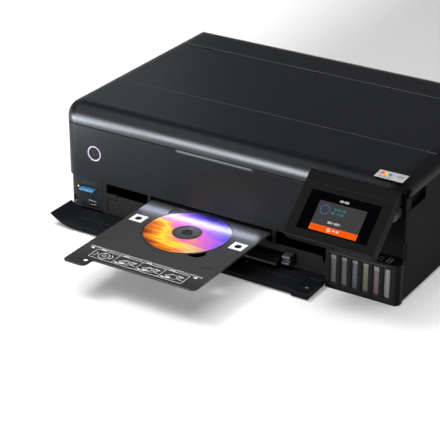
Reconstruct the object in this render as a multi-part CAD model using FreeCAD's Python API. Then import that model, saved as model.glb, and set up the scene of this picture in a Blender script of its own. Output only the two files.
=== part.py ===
import FreeCAD, Part
import math
import os

# Desktop inkjet printer with a disc-printing tray, shown in use: disc tray out, front flap
# down, touch panel tilted up.
# Millimetres. X to the right, +Y to the back, +Z up. Inside this script Y = 0 is the plane of
# the front panel and X = 0 lies a little right of the body's middle; PLACE_X and PLACE_Y move
# every piece so that the origin is the bottom centre of the open machine's bounding box.

# ---------------------------------------------------------------- driving dimensions
BODY_W = 536.0            # width over the side covers
BODY_D = 379.0            # front panel to back wall
BODY_H = 169.0            # floor to lid
MID_X = -4.5              # middle of the body
LEFT, RIGHT = MID_X - BODY_W / 2, MID_X + BODY_W / 2
WALL = 2.6                # thickness of the outer covers
GAP = 0.4                 # seam between two fixed covers
LID_GAP = 1.4             # open seam below the lid's front edge
FACE_GAP = 1.1            # open seam round the cassette's face
RUN = 0.3                 # running gap between moving pieces
FOOT_H = 3.0              # rubber feet below the base pan
COVER_Z = FOOT_H + 1.0    # lower edge of the covers

# lid and scanner
LID_SEAM_Z = BODY_H - 28.0     # lower edge of the lid at the front
SIDE_SEAM_Z = BODY_H - 20.5    # lower edge of the lid at the sides
SEAM_RAMP_Y = 22.0        # depth over which the seam climbs round the corner
ROLL_R = 24.0             # rolled front and side edges of the lid
CORNER_L = 26.0           # plan radius of the front corners
LID_WALL = 2.6
TOP_SEAM_Y = BODY_D - 93.2     # hinge line between lid and rear feed cover
KNUCKLE = 2.0             # radius of the thin hinge knuckles
GROOVE_Y = 114.5          # trim groove across the lid
GROOVE = 1.2
SCAN_Z = BODY_H - 41.0    # underside of the scanner unit
SCAN_TOP = SIDE_SEAM_Z + 0.2
SCAN_X = (LEFT + 17.5, RIGHT - 17.5)
SCAN_Y0 = 24.0
GLASS_X, GLASS_Y = (LEFT + 40.5, RIGHT - 189.5), (30.0, TOP_SEAM_Y - 33.8)
GLASS_T = 3.0
GLASS_TOP = SCAN_TOP - 0.6
PAD_T, PAD_RIBS = 4.0, 3
BAR_W, BAR_H = 22.0, 10.0
POCKET_Z = SIDE_SEAM_Z - 18.8  # lower edge of the finger pockets
POCKET_DEPTH, POCKET_SKIN = 6.5, 1.6
POCKET_LEFT_Y, POCKET_RIGHT_Y = (CORNER_L + 12.0, CORNER_L + 68.0), 62.0

# front
PANEL_Z = 59.3            # lower edge of the front panel
SLOT_TOP = PANEL_Z + 0.7  # ceiling of the output slot
LOWER_Y = 7.5             # set-back of the lower front behind the panel
PANEL_X = RIGHT - 136.5   # right end of the front panel
PANEL_RIBS = 7            # stiffening ribs behind the front panel
SCOOP = (-82.0, 43.0, LID_SEAM_Z - 5.0)   # finger scoop: left, right, lower edge
SCOOP_SLANT = 3.5
BUTTON_X, BUTTON_Z = LEFT + 55.5, 101.3
BUTTON_SEAT = 9.0         # depth of the power button's well
RING_R, RING_T = 11.2, 1.5
BUTTON_TRAVEL = 1.5

# card bezel
BEZEL_X = LEFT + 62.1     # right edge of the card plate
BEZEL_INSET = 1.2         # set-back of the card plate from the side cover
BEZEL_STEP_Z = 24.6       # lower edge of the card plate, above the recessed part
BEZEL_STEP = 3.5
CARD_X, CARD_Z = BEZEL_X - 22.8, 40.4
CARD_W, CARD_L, CARD_T = 24.0, 32.0, 2.1
CARD_OUT = 9.0            # how far the card stands out of its slot
LED_X, LED_Z, LED_R = CARD_X - 19.4, CARD_Z - 0.4, 1.2
USB_X, USB_Z = BEZEL_X - 20.2, 17.4
USB_W, USB_H, USB_L = 13.2, 5.8, 16.0
JACK_X, JACK_Z, JACK_R = LEFT + 13.0, 16.5, 2.2

# ink tanks
TANK_X0 = RIGHT - 106.5
TANK_FRONT = -5.0
TANK_LOW = 0.6            # lower edge of the tank housing
TANK_TOP = 56.2
DECK_Z = TANK_TOP + 2.2
TANK_CHAMFER = 5.0
WINDOW_X0, WINDOW_PITCH, WINDOW_W = TANK_X0 + 7.1, 15.6, 8.2
WINDOW_Z = (8.7, 50.3)
TANK_COUNT = 6
TANK_WALL = 2.2
TANK_W = 12.4
TANK_FLOOR_T = 2.4
TANK_D = 84.0
TANK_BACK_Y = 92.0        # rear end of the wall beside the tanks
NECK_Y, NECK_R, CAP_R = 66.0, 4.5, 5.8
TANK_HIGH = BODY_H - 65.0
CAP_TOP = BODY_H - 48.0

# paper cassette and output tray
CASS_X = (BEZEL_X + 8.6, TANK_X0 - 6.4)
CASS_Z = 12.4             # underside
CASS_FLOOR_T = 1.2
CASS_D = BODY_D - 89.0
CASS_WALL = 2.0
CASS_RIM = 27.0
FACE_T = 2.6
FACE_TOP = 40.0
FACE_DROP = (62.0, 36.0)  # where the face's upper edge steps down, and to which height
FACE_STEP = (17.5, 31.3)  # left corner step: width, height
FACE_NICK = (4.5, 30.0, 26.0)  # right corner step: width, height of its two ends
SHELF_Y = (16.0, 66.0)    # cross shelf that carries the output tray, from the cassette's front
SHELF_T = 2.0
STOP_IN, STOP_Y, STOP_H = 60.0, (120.0, 200.0), 6.2   # paper stops on the cassette's floor
STACK_X = (CASS_X[0] + 73.8, CASS_X[1] - 62.1)
STACK_RIBS = 5
STACK_TOP = 24.5
STACK_FRONT = -15.5
STACK_PLATE_Z = 20.6
STACK_PLATE_T = 2.5
STACK_DEPTH = 170.0
HOOK_X = (CASS_X[1] - 58.6, CASS_X[1] - 47.1)
HOOK_TOP = 29.0

# disc tray
DT_X = (-122.0, 69.0)
DT_TOP, DT_T = 52.0, 2.4
DT_FRONT, DT_BACK = -184.0, 56.0
TONGUE_W, TONGUE_OUT = 34.0, 19.0
DT_CORNER = 9.0
DISC_X, DISC_Y, DISC_R = -26.5, -54.5, 60.0
DISC_BORE_R, DISC_T = 7.5, 1.2
RECESS = 1.3              # depth of the disc recess
NOTCH_R = 13.0            # finger notches at the rim of the recess
HUB_ZONE_R = 20.0
MARK_X, MARK_Y, MARK_HOLE_R = (-105.7, 52.5), -53.3, 5.0   # holes of the position marks
RAIL_GAP, RAIL_T = 2.4, 5.6   # walls of the disc guide beside the tray
LEDGE = 4.0

# front flap
FLAP_AXIS = (3.5, 6.0)    # y, z of its hinge
FLAP_BOTTOM, FLAP_FLOOR = 2.5, 9.6
FLAP_FRONT = -49.2
FLAP_RIGHT = TANK_X0 - 0.6
FLAP_TIP = (LEFT + 11.0, 18.0)    # upper left end, which curls round the housing corner
FLAP_TIP_T = 1.6
FLAP_CURL_OUT, FLAP_CURL_IN = 70.0, 66.0
BLOCK_X = TANK_X0 - 25.0
BLOCK_Z = (0.9, 9.6)
BARREL_X0 = LEFT + 37.0
BARREL_R = 3.0
FLAP_PIN_R = 1.6
FLAP_LUG = (BARREL_X0 - 5.5, BARREL_X0 - 1.5)

# control panel: drawn upright (closed) and then tilted
TILT = 48.6
CP_X = (PANEL_X + 2.3, RIGHT - 6.5)
CP_AXIS = (8.0, BODY_H - 10.9)
CP_FACE_Y = -2.0
CP_TOP, CP_H = CP_AXIS[1] - 3.2, 94.6
CP_T_LOW, CP_T_HIGH, CP_DROP = 15.5, 19.7, 3.6
CP_CORNER = 8.0
CP_SEAM = 17.5            # seam line below the top edge
CP_WALL = 2.5
SCREEN_X = (CP_X[0] + 13.7, CP_X[1] - 13.5)
SCREEN_TOP, SCREEN_H = 26.0, 56.0
SCREEN_T = 1.6
EAR_T, EAR_R, PIN_R = 3.0, 2.2, 1.1
EAR_IN = 1.5              # ears' distance from the ends of the panel
ARM_PLATE = 1.2           # thickness of the right bracket with the panel's hinge pin
ARM_R = (31.0, 41.0)
ARM_X = (CP_X[1] - 9.5, CP_X[1] - 6.5)
BAY_Y = 18.6              # front face of the bay wall behind the closed panel
BAY_T = 2.4
BAY_FLOOR = (DECK_Z - 1.0, DECK_Z + 1.0)   # floor below the closed panel

# print mechanism
FRAME_X = (CASS_X[0] - 8.0, CASS_X[1] + 1.8)   # inner faces of the mechanism's side plates
FRAME_T = 2.4
FRAME_Y = (62.0, 200.0)
FRAME_TOP = BODY_H - 54.4
ROLL_AXIS_Y = (84.0, 165.0)    # eject roller, feed roller
EJECT_R, FEED_R = 6.0, 8.0
SHAFT_R = 3.0
RUBBER_W = 22.0
RUBBER_COUNT = 5
PLATEN_Y = (97.0, 150.0)
PLATEN_RIBS = 18
STAR_R, STAR_T, STAR_COUNT = 4.5, 0.8, 9
RAIL_Y = 152.0
RAIL_Z = (68.0, FRAME_TOP - 10.6)
RAIL_D = 30.0
ROD_Y, ROD_Z, ROD_R = 136.0, FRAME_TOP - 30.6, 4.0
SHAFT_FIT = 0.06
CARR_X, CARR_W = FRAME_X[1] - 48.4, 88.0
CARR_Y = (97.0, RAIL_Y - 2.6)
CARR_Z = (DT_TOP + 5.0, FRAME_TOP - 14.6)
PULLEY_X = (FRAME_X[0] + 17.8, FRAME_X[1] - 14.4)
PULLEY_Y, PULLEY_R = RAIL_Y + 16.0, 8.0
BELT_W, BELT_T = 5.0, 1.4
BELT_Z = FRAME_TOP - 7.6
MOTOR_R, MOTOR_H = 13.5, 30.0
DECK_PLATE_T = 2.4

# rear
BACK_ARC_R = 42.0         # round from the flat top down to the back wall
FEED_SEAM_Z = BODY_H - 39.0    # lower edge of the rear feed cover at the back
FEED_LUG_X = (-180.0, 180.0)
CHUTE_HALF = 172.0
SUPPORT_HALF = CHUTE_HALF - 102.0   # half width of the paper support behind the chute
CHUTE_TOP = (BODY_D - 27.0, BODY_H - 11.0)
CHUTE_FOOT = (BODY_D - 57.0, 62.0)
CHUTE_Y0 = CHUTE_FOOT[0] - 22.0   # front edge of the cheeks beside the chute
CHUTE_T = 3.0
GUIDE_X = CHUTE_HALF - 64.0    # edge guides, distance from the middle
GUIDE_L, GUIDE_OUT, GUIDE_T = 46.0, 11.0, 2.4
DOOR_X, DOOR_Z = 150.0, (34.0, 104.0)   # service door in the back
INLET_X, INLET_Z = LEFT + 76.5, 44.0
INLET_W, INLET_H, INLET_D = 22.0, 17.0, 20.0
PORT_X, PORT_W, PORT_Z = (-120.0, -92.0), (12.0, 15.0), (20.0, 32.0)
VENT_X, VENT_W, VENT_PITCH, VENT_COUNT = RIGHT - 63.5, 2.4, 6.0, 7
FOOT_R = 11.0
FOOT_IN = 34.0

REACH = TONGUE_OUT - DT_FRONT
PLACE_X = -MID_X
PLACE_Y = -(BODY_D - REACH) / 2

V = FreeCAD.Vector


# ---------------------------------------------------------------- drawing helpers
def lift(plane, u, v, w=0.0):
    """Point (u, v) of a drawing plane, at height w above it."""
    return {"xy": V(u, v, w), "yz": V(w, u, v), "xz": V(u, w, v)}[plane]


def outline(plane, points, w=0.0):
    """Closed face through the points; a third value rounds that corner to a radius."""
    edges, first, last = [], None, None
    count = len(points)
    for i, point in enumerate(points):
        here = V(point[0], point[1], 0)
        if len(point) == 2:
            start = end = here
        else:
            before = V(points[i - 1][0], points[i - 1][1], 0) - here
            after = V(points[(i + 1) % count][0], points[(i + 1) % count][1], 0) - here
            before.normalize()
            after.normalize()
            half = before.getAngle(after) / 2
            reach = point[2] / math.tan(half)
            middle = before + after
            middle.normalize()
            centre = here + middle * (point[2] / math.sin(half))
            start, end = here + before * reach, here + after * reach
            mid = centre - middle * point[2]
        if last is not None and (start - last).Length > 1e-6:
            edges.append(Part.LineSegment(lift(plane, last.x, last.y, w),
                                          lift(plane, start.x, start.y, w)).toShape())
        if len(point) == 3:
            edges.append(Part.Arc(lift(plane, start.x, start.y, w), lift(plane, mid.x, mid.y, w),
                                  lift(plane, end.x, end.y, w)).toShape())
        first = start if first is None else first
        last = end
    if (last - first).Length > 1e-6:
        edges.append(Part.LineSegment(lift(plane, last.x, last.y, w),
                                      lift(plane, first.x, first.y, w)).toShape())
    return Part.Face(Part.Wire(edges))


def prism(plane, points, low, high):
    """Outline pulled along the plane's normal from low to high."""
    axis = {"xy": V(0, 0, 1), "yz": V(1, 0, 0), "xz": V(0, 1, 0)}[plane]
    return outline(plane, points, low).extrude(axis * (high - low))


def box(x, y, z):
    """Box between three (low, high) pairs."""
    return Part.makeBox(x[1] - x[0], y[1] - y[0], z[1] - z[0], V(x[0], y[0], z[0]))


def rect(u, v, r=None):
    """Four corners of a rectangle, rounded to r where it is given."""
    corners = [(u[0], v[0]), (u[1], v[0]), (u[1], v[1]), (u[0], v[1])]
    return corners if r is None else [c + (r,) for c in corners]


def rod(axis, a, b, r, low, high):
    """Cylinder along x, y or z; a and b are its two other coordinates in X, Y, Z order."""
    base = {"x": V(low, a, b), "y": V(a, low, b), "z": V(a, b, low)}[axis]
    way = {"x": V(1, 0, 0), "y": V(0, 1, 0), "z": V(0, 0, 1)}[axis]
    return Part.makeCylinder(r, high - low, base, way)


def tube(axis, a, b, r_out, r_in, low, high):
    return rod(axis, a, b, r_out, low, high).cut(rod(axis, a, b, r_in, low, high))


def fuse(shapes):
    return shapes[0].multiFuse(shapes[1:]).removeSplitter()


def mirrored_x(shape):
    return shape.mirror(V(0, 0, 0), V(1, 0, 0))


def grown(span, by):
    return (span[0] - by, span[1] + by)


def spread(first, last, count):
    """Evenly spaced places from first to last."""
    return [first + i * (last - first) / (count - 1) for i in range(count)]


PIECES = {}


def piece(name, shape):
    """Keep a finished sub-part under its node name."""
    PIECES[name] = shape


# ---------------------------------------------------------------- shared outlines
def front_wrap(x_right, face_y, inset, depth_y):
    """Plan of a cover that runs along the front and round the left corner."""
    left = LEFT + inset
    return [(x_right, face_y), (left, face_y, CORNER_L - face_y), (left, depth_y)]


def wrap_shell(x_right, face_y, inset, wall, depth_y, low, high):
    outer = front_wrap(x_right, face_y, inset, depth_y) + [(x_right, depth_y)]
    inner = front_wrap(x_right + 1, face_y + wall, inset + wall, depth_y + 1)
    inner += [(x_right + 1, depth_y + 1)]
    return prism("xy", outer, low, high).cut(prism("xy", inner, low - 1, high + 1))


def seam_profile(drop, side_drop, z_end):
    """Region from the lid's lower edge, less the drops, to z_end; it climbs round the corner."""
    far = BODY_D + 50
    return [(-50, LID_SEAM_Z - drop), (LID_WALL + 1, LID_SEAM_Z - drop),
            (SEAM_RAMP_Y, SIDE_SEAM_Z - side_drop), (far, SIDE_SEAM_Z - side_drop), (far, z_end),
            (-50, z_end)]


# ---------------------------------------------------------------- base and covers
def build_base():
    x0, x1, back = LEFT + WALL + RUN, RIGHT - WALL - RUN, BODY_D - WALL - RUN
    floor = prism("xy", [(x0, LOWER_Y + 0.2, CORNER_L - 8), (TANK_X0 - 1, LOWER_Y + 0.2),
                         (TANK_X0 - 1, TANK_BACK_Y), (x1, TANK_BACK_Y), (x1, back), (x0, back)],
                  FOOT_H, FOOT_H + 3)
    runners = [box((x - 4, x + 4), (LOWER_Y + 5, CASS_D), (FOOT_H + 3, CASS_Z - RUN))
               for x in (CASS_X[0] + 12, (CASS_X[0] + CASS_X[1]) / 2, CASS_X[1] - 12)]
    tank_floor = box((TANK_X0 + TANK_WALL + 1, x1), (LOWER_Y + 0.5, TANK_BACK_Y + 0.5),
                     (FOOT_H, FOOT_H + TANK_FLOOR_T))
    y, z = FLAP_AXIS
    ear = box(FLAP_LUG, (0.7, LOWER_Y + 1), (FOOT_H, z + BARREL_R))
    ear = ear.cut(rod("x", y, z, FLAP_PIN_R + SHAFT_FIT, FLAP_LUG[0] - 1, FLAP_LUG[1] + 1))
    piece("base_pan", fuse([floor, tank_floor, ear] + runners))
    spots = [(x, y) for x in (LEFT + FOOT_IN, RIGHT - FOOT_IN) for y in (FOOT_IN, BODY_D - FOOT_IN)]
    feet = []
    for x, y in spots:
        pad = rod("z", x, y, FOOT_R, 0, FOOT_H)
        feet.append(pad.makeChamfer(0.7, [e for e in pad.Edges if e.BoundBox.ZMax < 0.1]))
    piece("rubber_feet", Part.makeCompound(feet))


def side_cover(side, front_y, pocket_y):
    """Flat side wall with a finger pocket under the lid, mirrored for the left side."""
    x_out = BODY_W / 2
    x_in, x_deep = x_out - WALL, x_out - POCKET_DEPTH
    profile = [(front_y, COVER_Z), (BODY_D, COVER_Z), (BODY_D, BODY_H, BACK_ARC_R),
               (front_y, BODY_H)]
    wall = prism("yz", profile, x_in, x_out)
    wall = wall.common(box((0, x_out), (0, BODY_D), (0, SIDE_SEAM_Z - GAP)))
    # in front of the bay wall the pocket is shallow; behind it a ramp leads to the full depth
    shallow, top = 1.2, SIDE_SEAM_Z - GAP
    deep_y = max(BAY_Y + BAY_T + 1.0, pocket_y[0] + 1.0)
    ramp_y = deep_y + POCKET_DEPTH
    hollow = [(x_out + 1, pocket_y[0]), (x_out - shallow, pocket_y[0]), (x_out - shallow, deep_y),
              (x_deep, ramp_y), (x_deep, pocket_y[1]), (x_out + 1, pocket_y[1])]
    around = [(x_in, deep_y), (x_deep - POCKET_SKIN, ramp_y),
              (x_deep - POCKET_SKIN, pocket_y[1] + POCKET_SKIN), (x_in, pocket_y[1] + POCKET_SKIN)]
    rounded = prism("yz", rect(pocket_y, (POCKET_Z, top + 8), 4), x_deep, x_out + 1)
    block = prism("xy", hollow, POCKET_Z, top + 1).common(rounded)
    shell = prism("xy", around, POCKET_Z - POCKET_SKIN, top)
    wall = wall.fuse(shell).cut(block).removeSplitter()
    wall = wall if side > 0 else mirrored_x(wall)
    wall.translate(V(MID_X, 0, 0))
    return wall


def build_sides():
    front = LOWER_Y + 0.4
    right = side_cover(1, front, (front - 6, POCKET_RIGHT_Y))
    catch = prism("yz", rect((LOWER_Y - 1, LOWER_Y + 6), (62.0, 87.0), 2.5), RIGHT - 1.0, RIGHT + 1)
    piece("side_cover_right", right.cut(catch))
    piece("side_cover_left", side_cover(-1, CORNER_L + 4 + GAP, POCKET_LEFT_Y))


def build_rear():
    top = FEED_SEAM_Z - KNUCKLE - GAP
    wall = box((LEFT + WALL + GAP, RIGHT - WALL - GAP), (BODY_D - WALL, BODY_D), (COVER_Z, top))
    door_x = (-DOOR_X, DOOR_X)
    door = prism("xz", rect(door_x, DOOR_Z, 5), BODY_D - 1.0, BODY_D + 1)
    door_plate = prism("xz", rect(grown(door_x, -0.6), grown(DOOR_Z, -0.6), 4.4),
                       BODY_D - 1.2, BODY_D - 0.2)
    wall = wall.cut(door).fuse(door_plate)
    inlet = box((INLET_X - INLET_W / 2 - 0.1, INLET_X + INLET_W / 2 + 0.1),
                (BODY_D - WALL - 1, BODY_D + 1),
                (INLET_Z - INLET_H / 2 - 0.1, INLET_Z + INLET_H / 2 + 0.1))
    wall = wall.cut(inlet)
    for x, w in zip(PORT_X, PORT_W):
        shell = box((x - w / 2 - 1.4, x + w / 2 + 1.4), (BODY_D - 18, BODY_D - WALL),
                    grown(PORT_Z, 1.4))
        hole = box((x - w / 2, x + w / 2), (BODY_D - 15, BODY_D + 1), PORT_Z)
        wall = wall.fuse(shell).cut(hole)
    vents = [box((VENT_X + i * VENT_PITCH, VENT_X + i * VENT_PITCH + VENT_W),
                 (BODY_D - WALL - 1, BODY_D + 1), (70, 100)) for i in range(VENT_COUNT)]
    wall = wall.cut(Part.makeCompound(vents)).removeSplitter()
    lugs = [feed_lug(x) for x in FEED_LUG_X]
    piece("rear_cover", fuse([wall] + lugs))
    socket = box((INLET_X - INLET_W / 2, INLET_X + INLET_W / 2), (BODY_D - INLET_D, BODY_D - 0.6),
                 (INLET_Z - INLET_H / 2, INLET_Z + INLET_H / 2))
    mouth_w, mouth_h = 12.6, 8.2
    mouth = prism("xz", rect((INLET_X - mouth_w / 2, INLET_X + mouth_w / 2),
                             (INLET_Z - mouth_h / 2, INLET_Z + mouth_h / 2), mouth_h / 2 - 0.1),
                  BODY_D - INLET_D + 3, BODY_D + 1)
    pins = [rod("y", INLET_X + s * 3.2, INLET_Z, 1.0, BODY_D - INLET_D + 3, BODY_D - 5)
            for s in (-1, 1)]
    piece("power_inlet", fuse([socket.cut(mouth)] + pins))


LUG_W = 6.0


def lug(axis_yz, foot_yz, x, width, pin=None):
    """Hinge lug: a rounded link from the hinge axis to its root, bored or with a pin."""
    (ay, az), (fy, fz) = axis_yz, foot_yz
    run = math.hypot(fy - ay, fz - az)
    uy, uz = (fy - ay) / run * KNUCKLE, (fz - az) / run * KNUCKLE
    strap = prism("yz", [(ay - uz, az + uy), (fy - uz, fz + uy), (fy + uz, fz - uy),
                         (ay + uz, az - uy)], x, x + width)
    link = strap.fuse(rod("x", ay, az, KNUCKLE, x, x + width))
    if pin is None:
        return link.cut(rod("x", ay, az, PIN_R + SHAFT_FIT, x - 1, x + width + 1))
    return link.fuse(rod("x", ay, az, PIN_R, pin[0], pin[1]))


LID_AXIS = (TOP_SEAM_Y, BODY_H - KNUCKLE)
FEED_AXIS = (BODY_D - KNUCKLE - 0.1, FEED_SEAM_Z)


def feed_lug(x):
    pin = (x - LUG_W - 1, x + 2 * LUG_W + 1)
    foot = (FEED_AXIS[0] - 0.5, FEED_AXIS[1] - 8)
    return lug(FEED_AXIS, foot, x, LUG_W, pin)


def build_top_beam():
    """Cross beam behind the scanner; its lugs carry the hinge pins of scanner unit and lid."""
    y0 = TOP_SEAM_Y + KNUCKLE + 0.6
    z0, z1 = FRAME_TOP + DECK_PLATE_T + 1.0, LID_AXIS[1] - 6.0
    profile = [(y0, z0), (y0 + 3, z0), (y0 + 3, z1 - 3), (y0 + 10.6, z1 - 3), (y0 + 10.6, z1), (y0, z1)]
    beam = prism("yz", profile, LEFT + WALL + RUN, RIGHT - WALL - RUN)
    # its ends stay below the rolled sides of the rear feed cover
    for x in ((LEFT, LEFT + ROLL_R / 2), (RIGHT - ROLL_R / 2, RIGHT)):
        beam = beam.cut(box(x, (y0 - 1, y0 + 12), (SIDE_SEAM_Z - 1, z1 + 1)))
    straps = []
    for x in HINGE_X:
        pin = (x - 2 * LUG_W, x + 2 * LUG_W + 1)
        straps.append(lug(LID_AXIS, (y0 + 1.5, z1 - 1.0), x, LUG_W, pin))
    piece("top_beam", fuse([beam] + straps))


HINGE_X = (LEFT + 66.5, RIGHT - 63.5)


# ---------------------------------------------------------------- lid and scanner unit
def lid_block(inset, z_low, rear_y):
    """Lid body with round front corners and one roll round its front and side edges."""
    top = BODY_H - inset
    block = box((LEFT + inset, RIGHT - inset), (inset, rear_y), (z_low, top))
    corners = [e for e in block.Edges if e.BoundBox.YMax < inset + 1 and e.BoundBox.ZLength > 1]
    block = block.makeFillet(CORNER_L - inset, corners)
    rim = [e for e in block.Edges if e.BoundBox.ZMin > top - 0.1 and e.BoundBox.YMin < rear_y - 1]
    return block.makeFillet(ROLL_R - inset, rim)


def build_lid():
    outer = lid_block(0, LID_SEAM_Z - 10, TOP_SEAM_Y + KNUCKLE)
    inner = lid_block(LID_WALL, LID_SEAM_Z - 11, TOP_SEAM_Y - 3 * KNUCKLE)
    lid = outer.cut(inner)
    skirts = prism("yz", seam_profile(0, 0, LID_SEAM_Z - 30), LEFT - 1, RIGHT + 1)
    lid = lid.cut(skirts)
    # the thin rear edge is round about the hinge axis, and nothing hangs below it there;
    # the rolled sides run on to the rear feed cover, below the axis
    behind = TOP_SEAM_Y + KNUCKLE + 1
    lid = lid.cut(box((LEFT + ROLL_R, RIGHT - ROLL_R), (TOP_SEAM_Y - 6 * KNUCKLE, behind),
                      (LID_SEAM_Z - 1, BODY_H - 2 * KNUCKLE)))
    lid = lid.cut(box((LEFT - 1, RIGHT + 1), (TOP_SEAM_Y, behind), (BODY_H - 2 * KNUCKLE, BODY_H + 1)))
    knuckle = rod("x", LID_AXIS[0], LID_AXIS[1], KNUCKLE, LEFT + ROLL_R, RIGHT - ROLL_R)
    groove = box((LEFT - 1, RIGHT + 1), (GROOVE_Y - GROOVE / 2, GROOVE_Y + GROOVE / 2),
                 (BODY_H - 0.5, BODY_H + 1))
    lid = lid.fuse(knuckle).cut(groove)
    for x in HINGE_X:
        station = box((x - LUG_W - RUN, x + LUG_W + RUN), (TOP_SEAM_Y - KNUCKLE - 0.6, TOP_SEAM_Y + 9),
                      (0, BODY_H + 1))
        bore = rod("x", LID_AXIS[0], LID_AXIS[1], PIN_R + SHAFT_FIT, x - 3 * LUG_W, x + 3 * LUG_W)
        lid = lid.cut(station).cut(bore)
    # clearance for the top of the touch panel and for its hinge ears
    x0, x1 = PANEL_X, RIGHT - WALL
    lip_y, lip_z = 4.5, CP_TOP + 2.6
    panel_cut = prism("yz", [(-1, LID_SEAM_Z - 1), (BAY_Y + BAY_T + 2, LID_SEAM_Z - 1),
                             (BAY_Y + BAY_T + 2, lip_z), (lip_y + 2, lip_z), (lip_y, lip_z + 2.4),
                             (lip_y, BODY_H + 1), (-1, BODY_H + 1)], x0, x1)
    low_cut = box((x0, RIGHT + 1), (-1, SEAM_RAMP_Y + 1), (LID_SEAM_Z - 1, SIDE_SEAM_Z))
    lid = lid.cut(panel_cut).cut(low_cut)
    ear_in, ear_r = EAR_IN + EAR_T + 1.5, EAR_R + 0.4
    for ear_x in ((x0, CP_X[0] + ear_in), (CP_X[1] - ear_in, CP_X[1] + RUN + ARM_PLATE + RUN)):
        lid = lid.cut(rod("x", CP_AXIS[0], CP_AXIS[1], ear_r, *ear_x))
        lid = lid.cut(box(ear_x, (-1, CP_AXIS[0]), (lip_z - 1, CP_AXIS[1] + ear_r)))
    # a rib frame under the lid carries the document pad
    pad_x, pad_y, pad_z = grown(GLASS_X, 3), grown(GLASS_Y, 3), GLASS_TOP + RUN + PAD_T
    rib_z = (pad_z, BODY_H - LID_WALL + 0.1)
    ribs = box(grown(pad_x, -4), grown(pad_y, -4), rib_z)
    ribs = ribs.cut(box(grown(pad_x, -6), grown(pad_y, -6), rib_z))
    for k in range(1, PAD_RIBS + 1):
        x = pad_x[0] + k * (pad_x[1] - pad_x[0]) / (PAD_RIBS + 1)
        ribs = ribs.fuse(box((x - 1, x + 1), grown(pad_y, -5), rib_z))
    piece("lid", fuse([lid, ribs]))
    piece("lid_pad", prism("xy", rect(pad_x, pad_y, 6), GLASS_TOP + RUN, pad_z))


def build_scanner():
    y = (SCAN_Y0, TOP_SEAM_Y - KNUCKLE - 1.2)
    body = prism("xy", rect(SCAN_X, y, 5), SCAN_Z, GLASS_TOP)
    wall, floor = 3.0, 2.5
    room = box(grown(GLASS_X, -6), grown(GLASS_Y, -6), (SCAN_Z + floor, SCAN_TOP))
    seat = box(grown(GLASS_X, 0.1), grown(GLASS_Y, 0.1), (GLASS_TOP - GLASS_T, SCAN_TOP))
    hollow = box((GLASS_X[1] + 6, SCAN_X[1] - wall), (SCAN_Y0 + wall, y[1] - wall),
                 (SCAN_Z - 1, GLASS_TOP - wall))
    frame = body.cut(room).cut(seat).cut(hollow)
    rail_y = sum(GLASS_Y) / 2
    rail = box(grown(GLASS_X, -6), (rail_y - 4, rail_y + 4), (SCAN_Z + floor, SCAN_Z + floor + 1.5))
    arms = [lug(LID_AXIS, (TOP_SEAM_Y - 5.4, SCAN_TOP - 4), x0 - LUG_W, LUG_W - RUN) for x0 in HINGE_X]
    piece("scanner_frame", fuse([frame, rail] + arms))
    piece("scanner_glass", box(GLASS_X, GLASS_Y, (GLASS_TOP - GLASS_T, GLASS_TOP)))
    bar_x = GLASS_X[0] + 8
    bar_z = SCAN_Z + floor + 1.5 + RUN
    bar = box((bar_x, bar_x + BAR_W), grown(GLASS_Y, -10), (bar_z, bar_z + BAR_H - 1))
    slit = box((bar_x + 8, bar_x + 14), grown(GLASS_Y, -16), (bar_z + BAR_H - 2.2, bar_z + BAR_H))
    piece("scan_bar", bar.cut(slit))


# ---------------------------------------------------------------- front panel
def build_front_panel():
    depth = CORNER_L + 4
    shell = wrap_shell(PANEL_X, 0, 0, WALL, depth, PANEL_Z, SIDE_SEAM_Z)
    shell = shell.cut(prism("yz", seam_profile(LID_GAP, GAP, SIDE_SEAM_Z + 30), LEFT - 1, RIGHT + 1))
    left, right, low = SCOOP
    notch = [(left, LID_SEAM_Z + 1), (left + SCOOP_SLANT, low), (right - SCOOP_SLANT, low),
             (right, LID_SEAM_Z + 1)]
    shell = shell.cut(prism("xz", notch, -1, WALL + 1))
    bar_gap = 0.1
    bar = prism("xz", [(left + bar_gap, LID_SEAM_Z + 1), (left + SCOOP_SLANT + bar_gap, low + bar_gap),
                       (right - SCOOP_SLANT - bar_gap, low + bar_gap), (right - bar_gap, LID_SEAM_Z + 1)],
                0.5, WALL)
    piece("lift_bar", bar.common(box((left, right), (0, WALL), (low, LID_SEAM_Z - LID_GAP))))
    ring_seat = RING_R + 0.1
    boss = tube("y", BUTTON_X, BUTTON_Z, ring_seat + 2.4, ring_seat, WALL, BUTTON_SEAT)
    floor = rod("y", BUTTON_X, BUTTON_Z, ring_seat + 2.4, BUTTON_SEAT, BUTTON_SEAT + 2)
    rib_z = (PANEL_Z + 4, LID_SEAM_Z - 8)
    ribs = [box((x - 1, x + 1), (WALL, 7.0), rib_z)
            for x in spread(LEFT + 92.5, PANEL_X - 7.0, PANEL_RIBS)]
    shell = fuse([shell, boss, floor] + ribs)
    piece("front_panel", shell.cut(rod("y", BUTTON_X, BUTTON_Z, ring_seat, -1, BUTTON_SEAT)))
    piece("power_ring", tube("y", BUTTON_X, BUTTON_Z, RING_R, RING_R - RING_T, 0.1, BUTTON_SEAT))
    cap_r = RING_R - RING_T - RUN
    piece("power_button", rod("y", BUTTON_X, BUTTON_Z, cap_r, 0.3, BUTTON_SEAT - BUTTON_TRAVEL - RUN))


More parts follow.
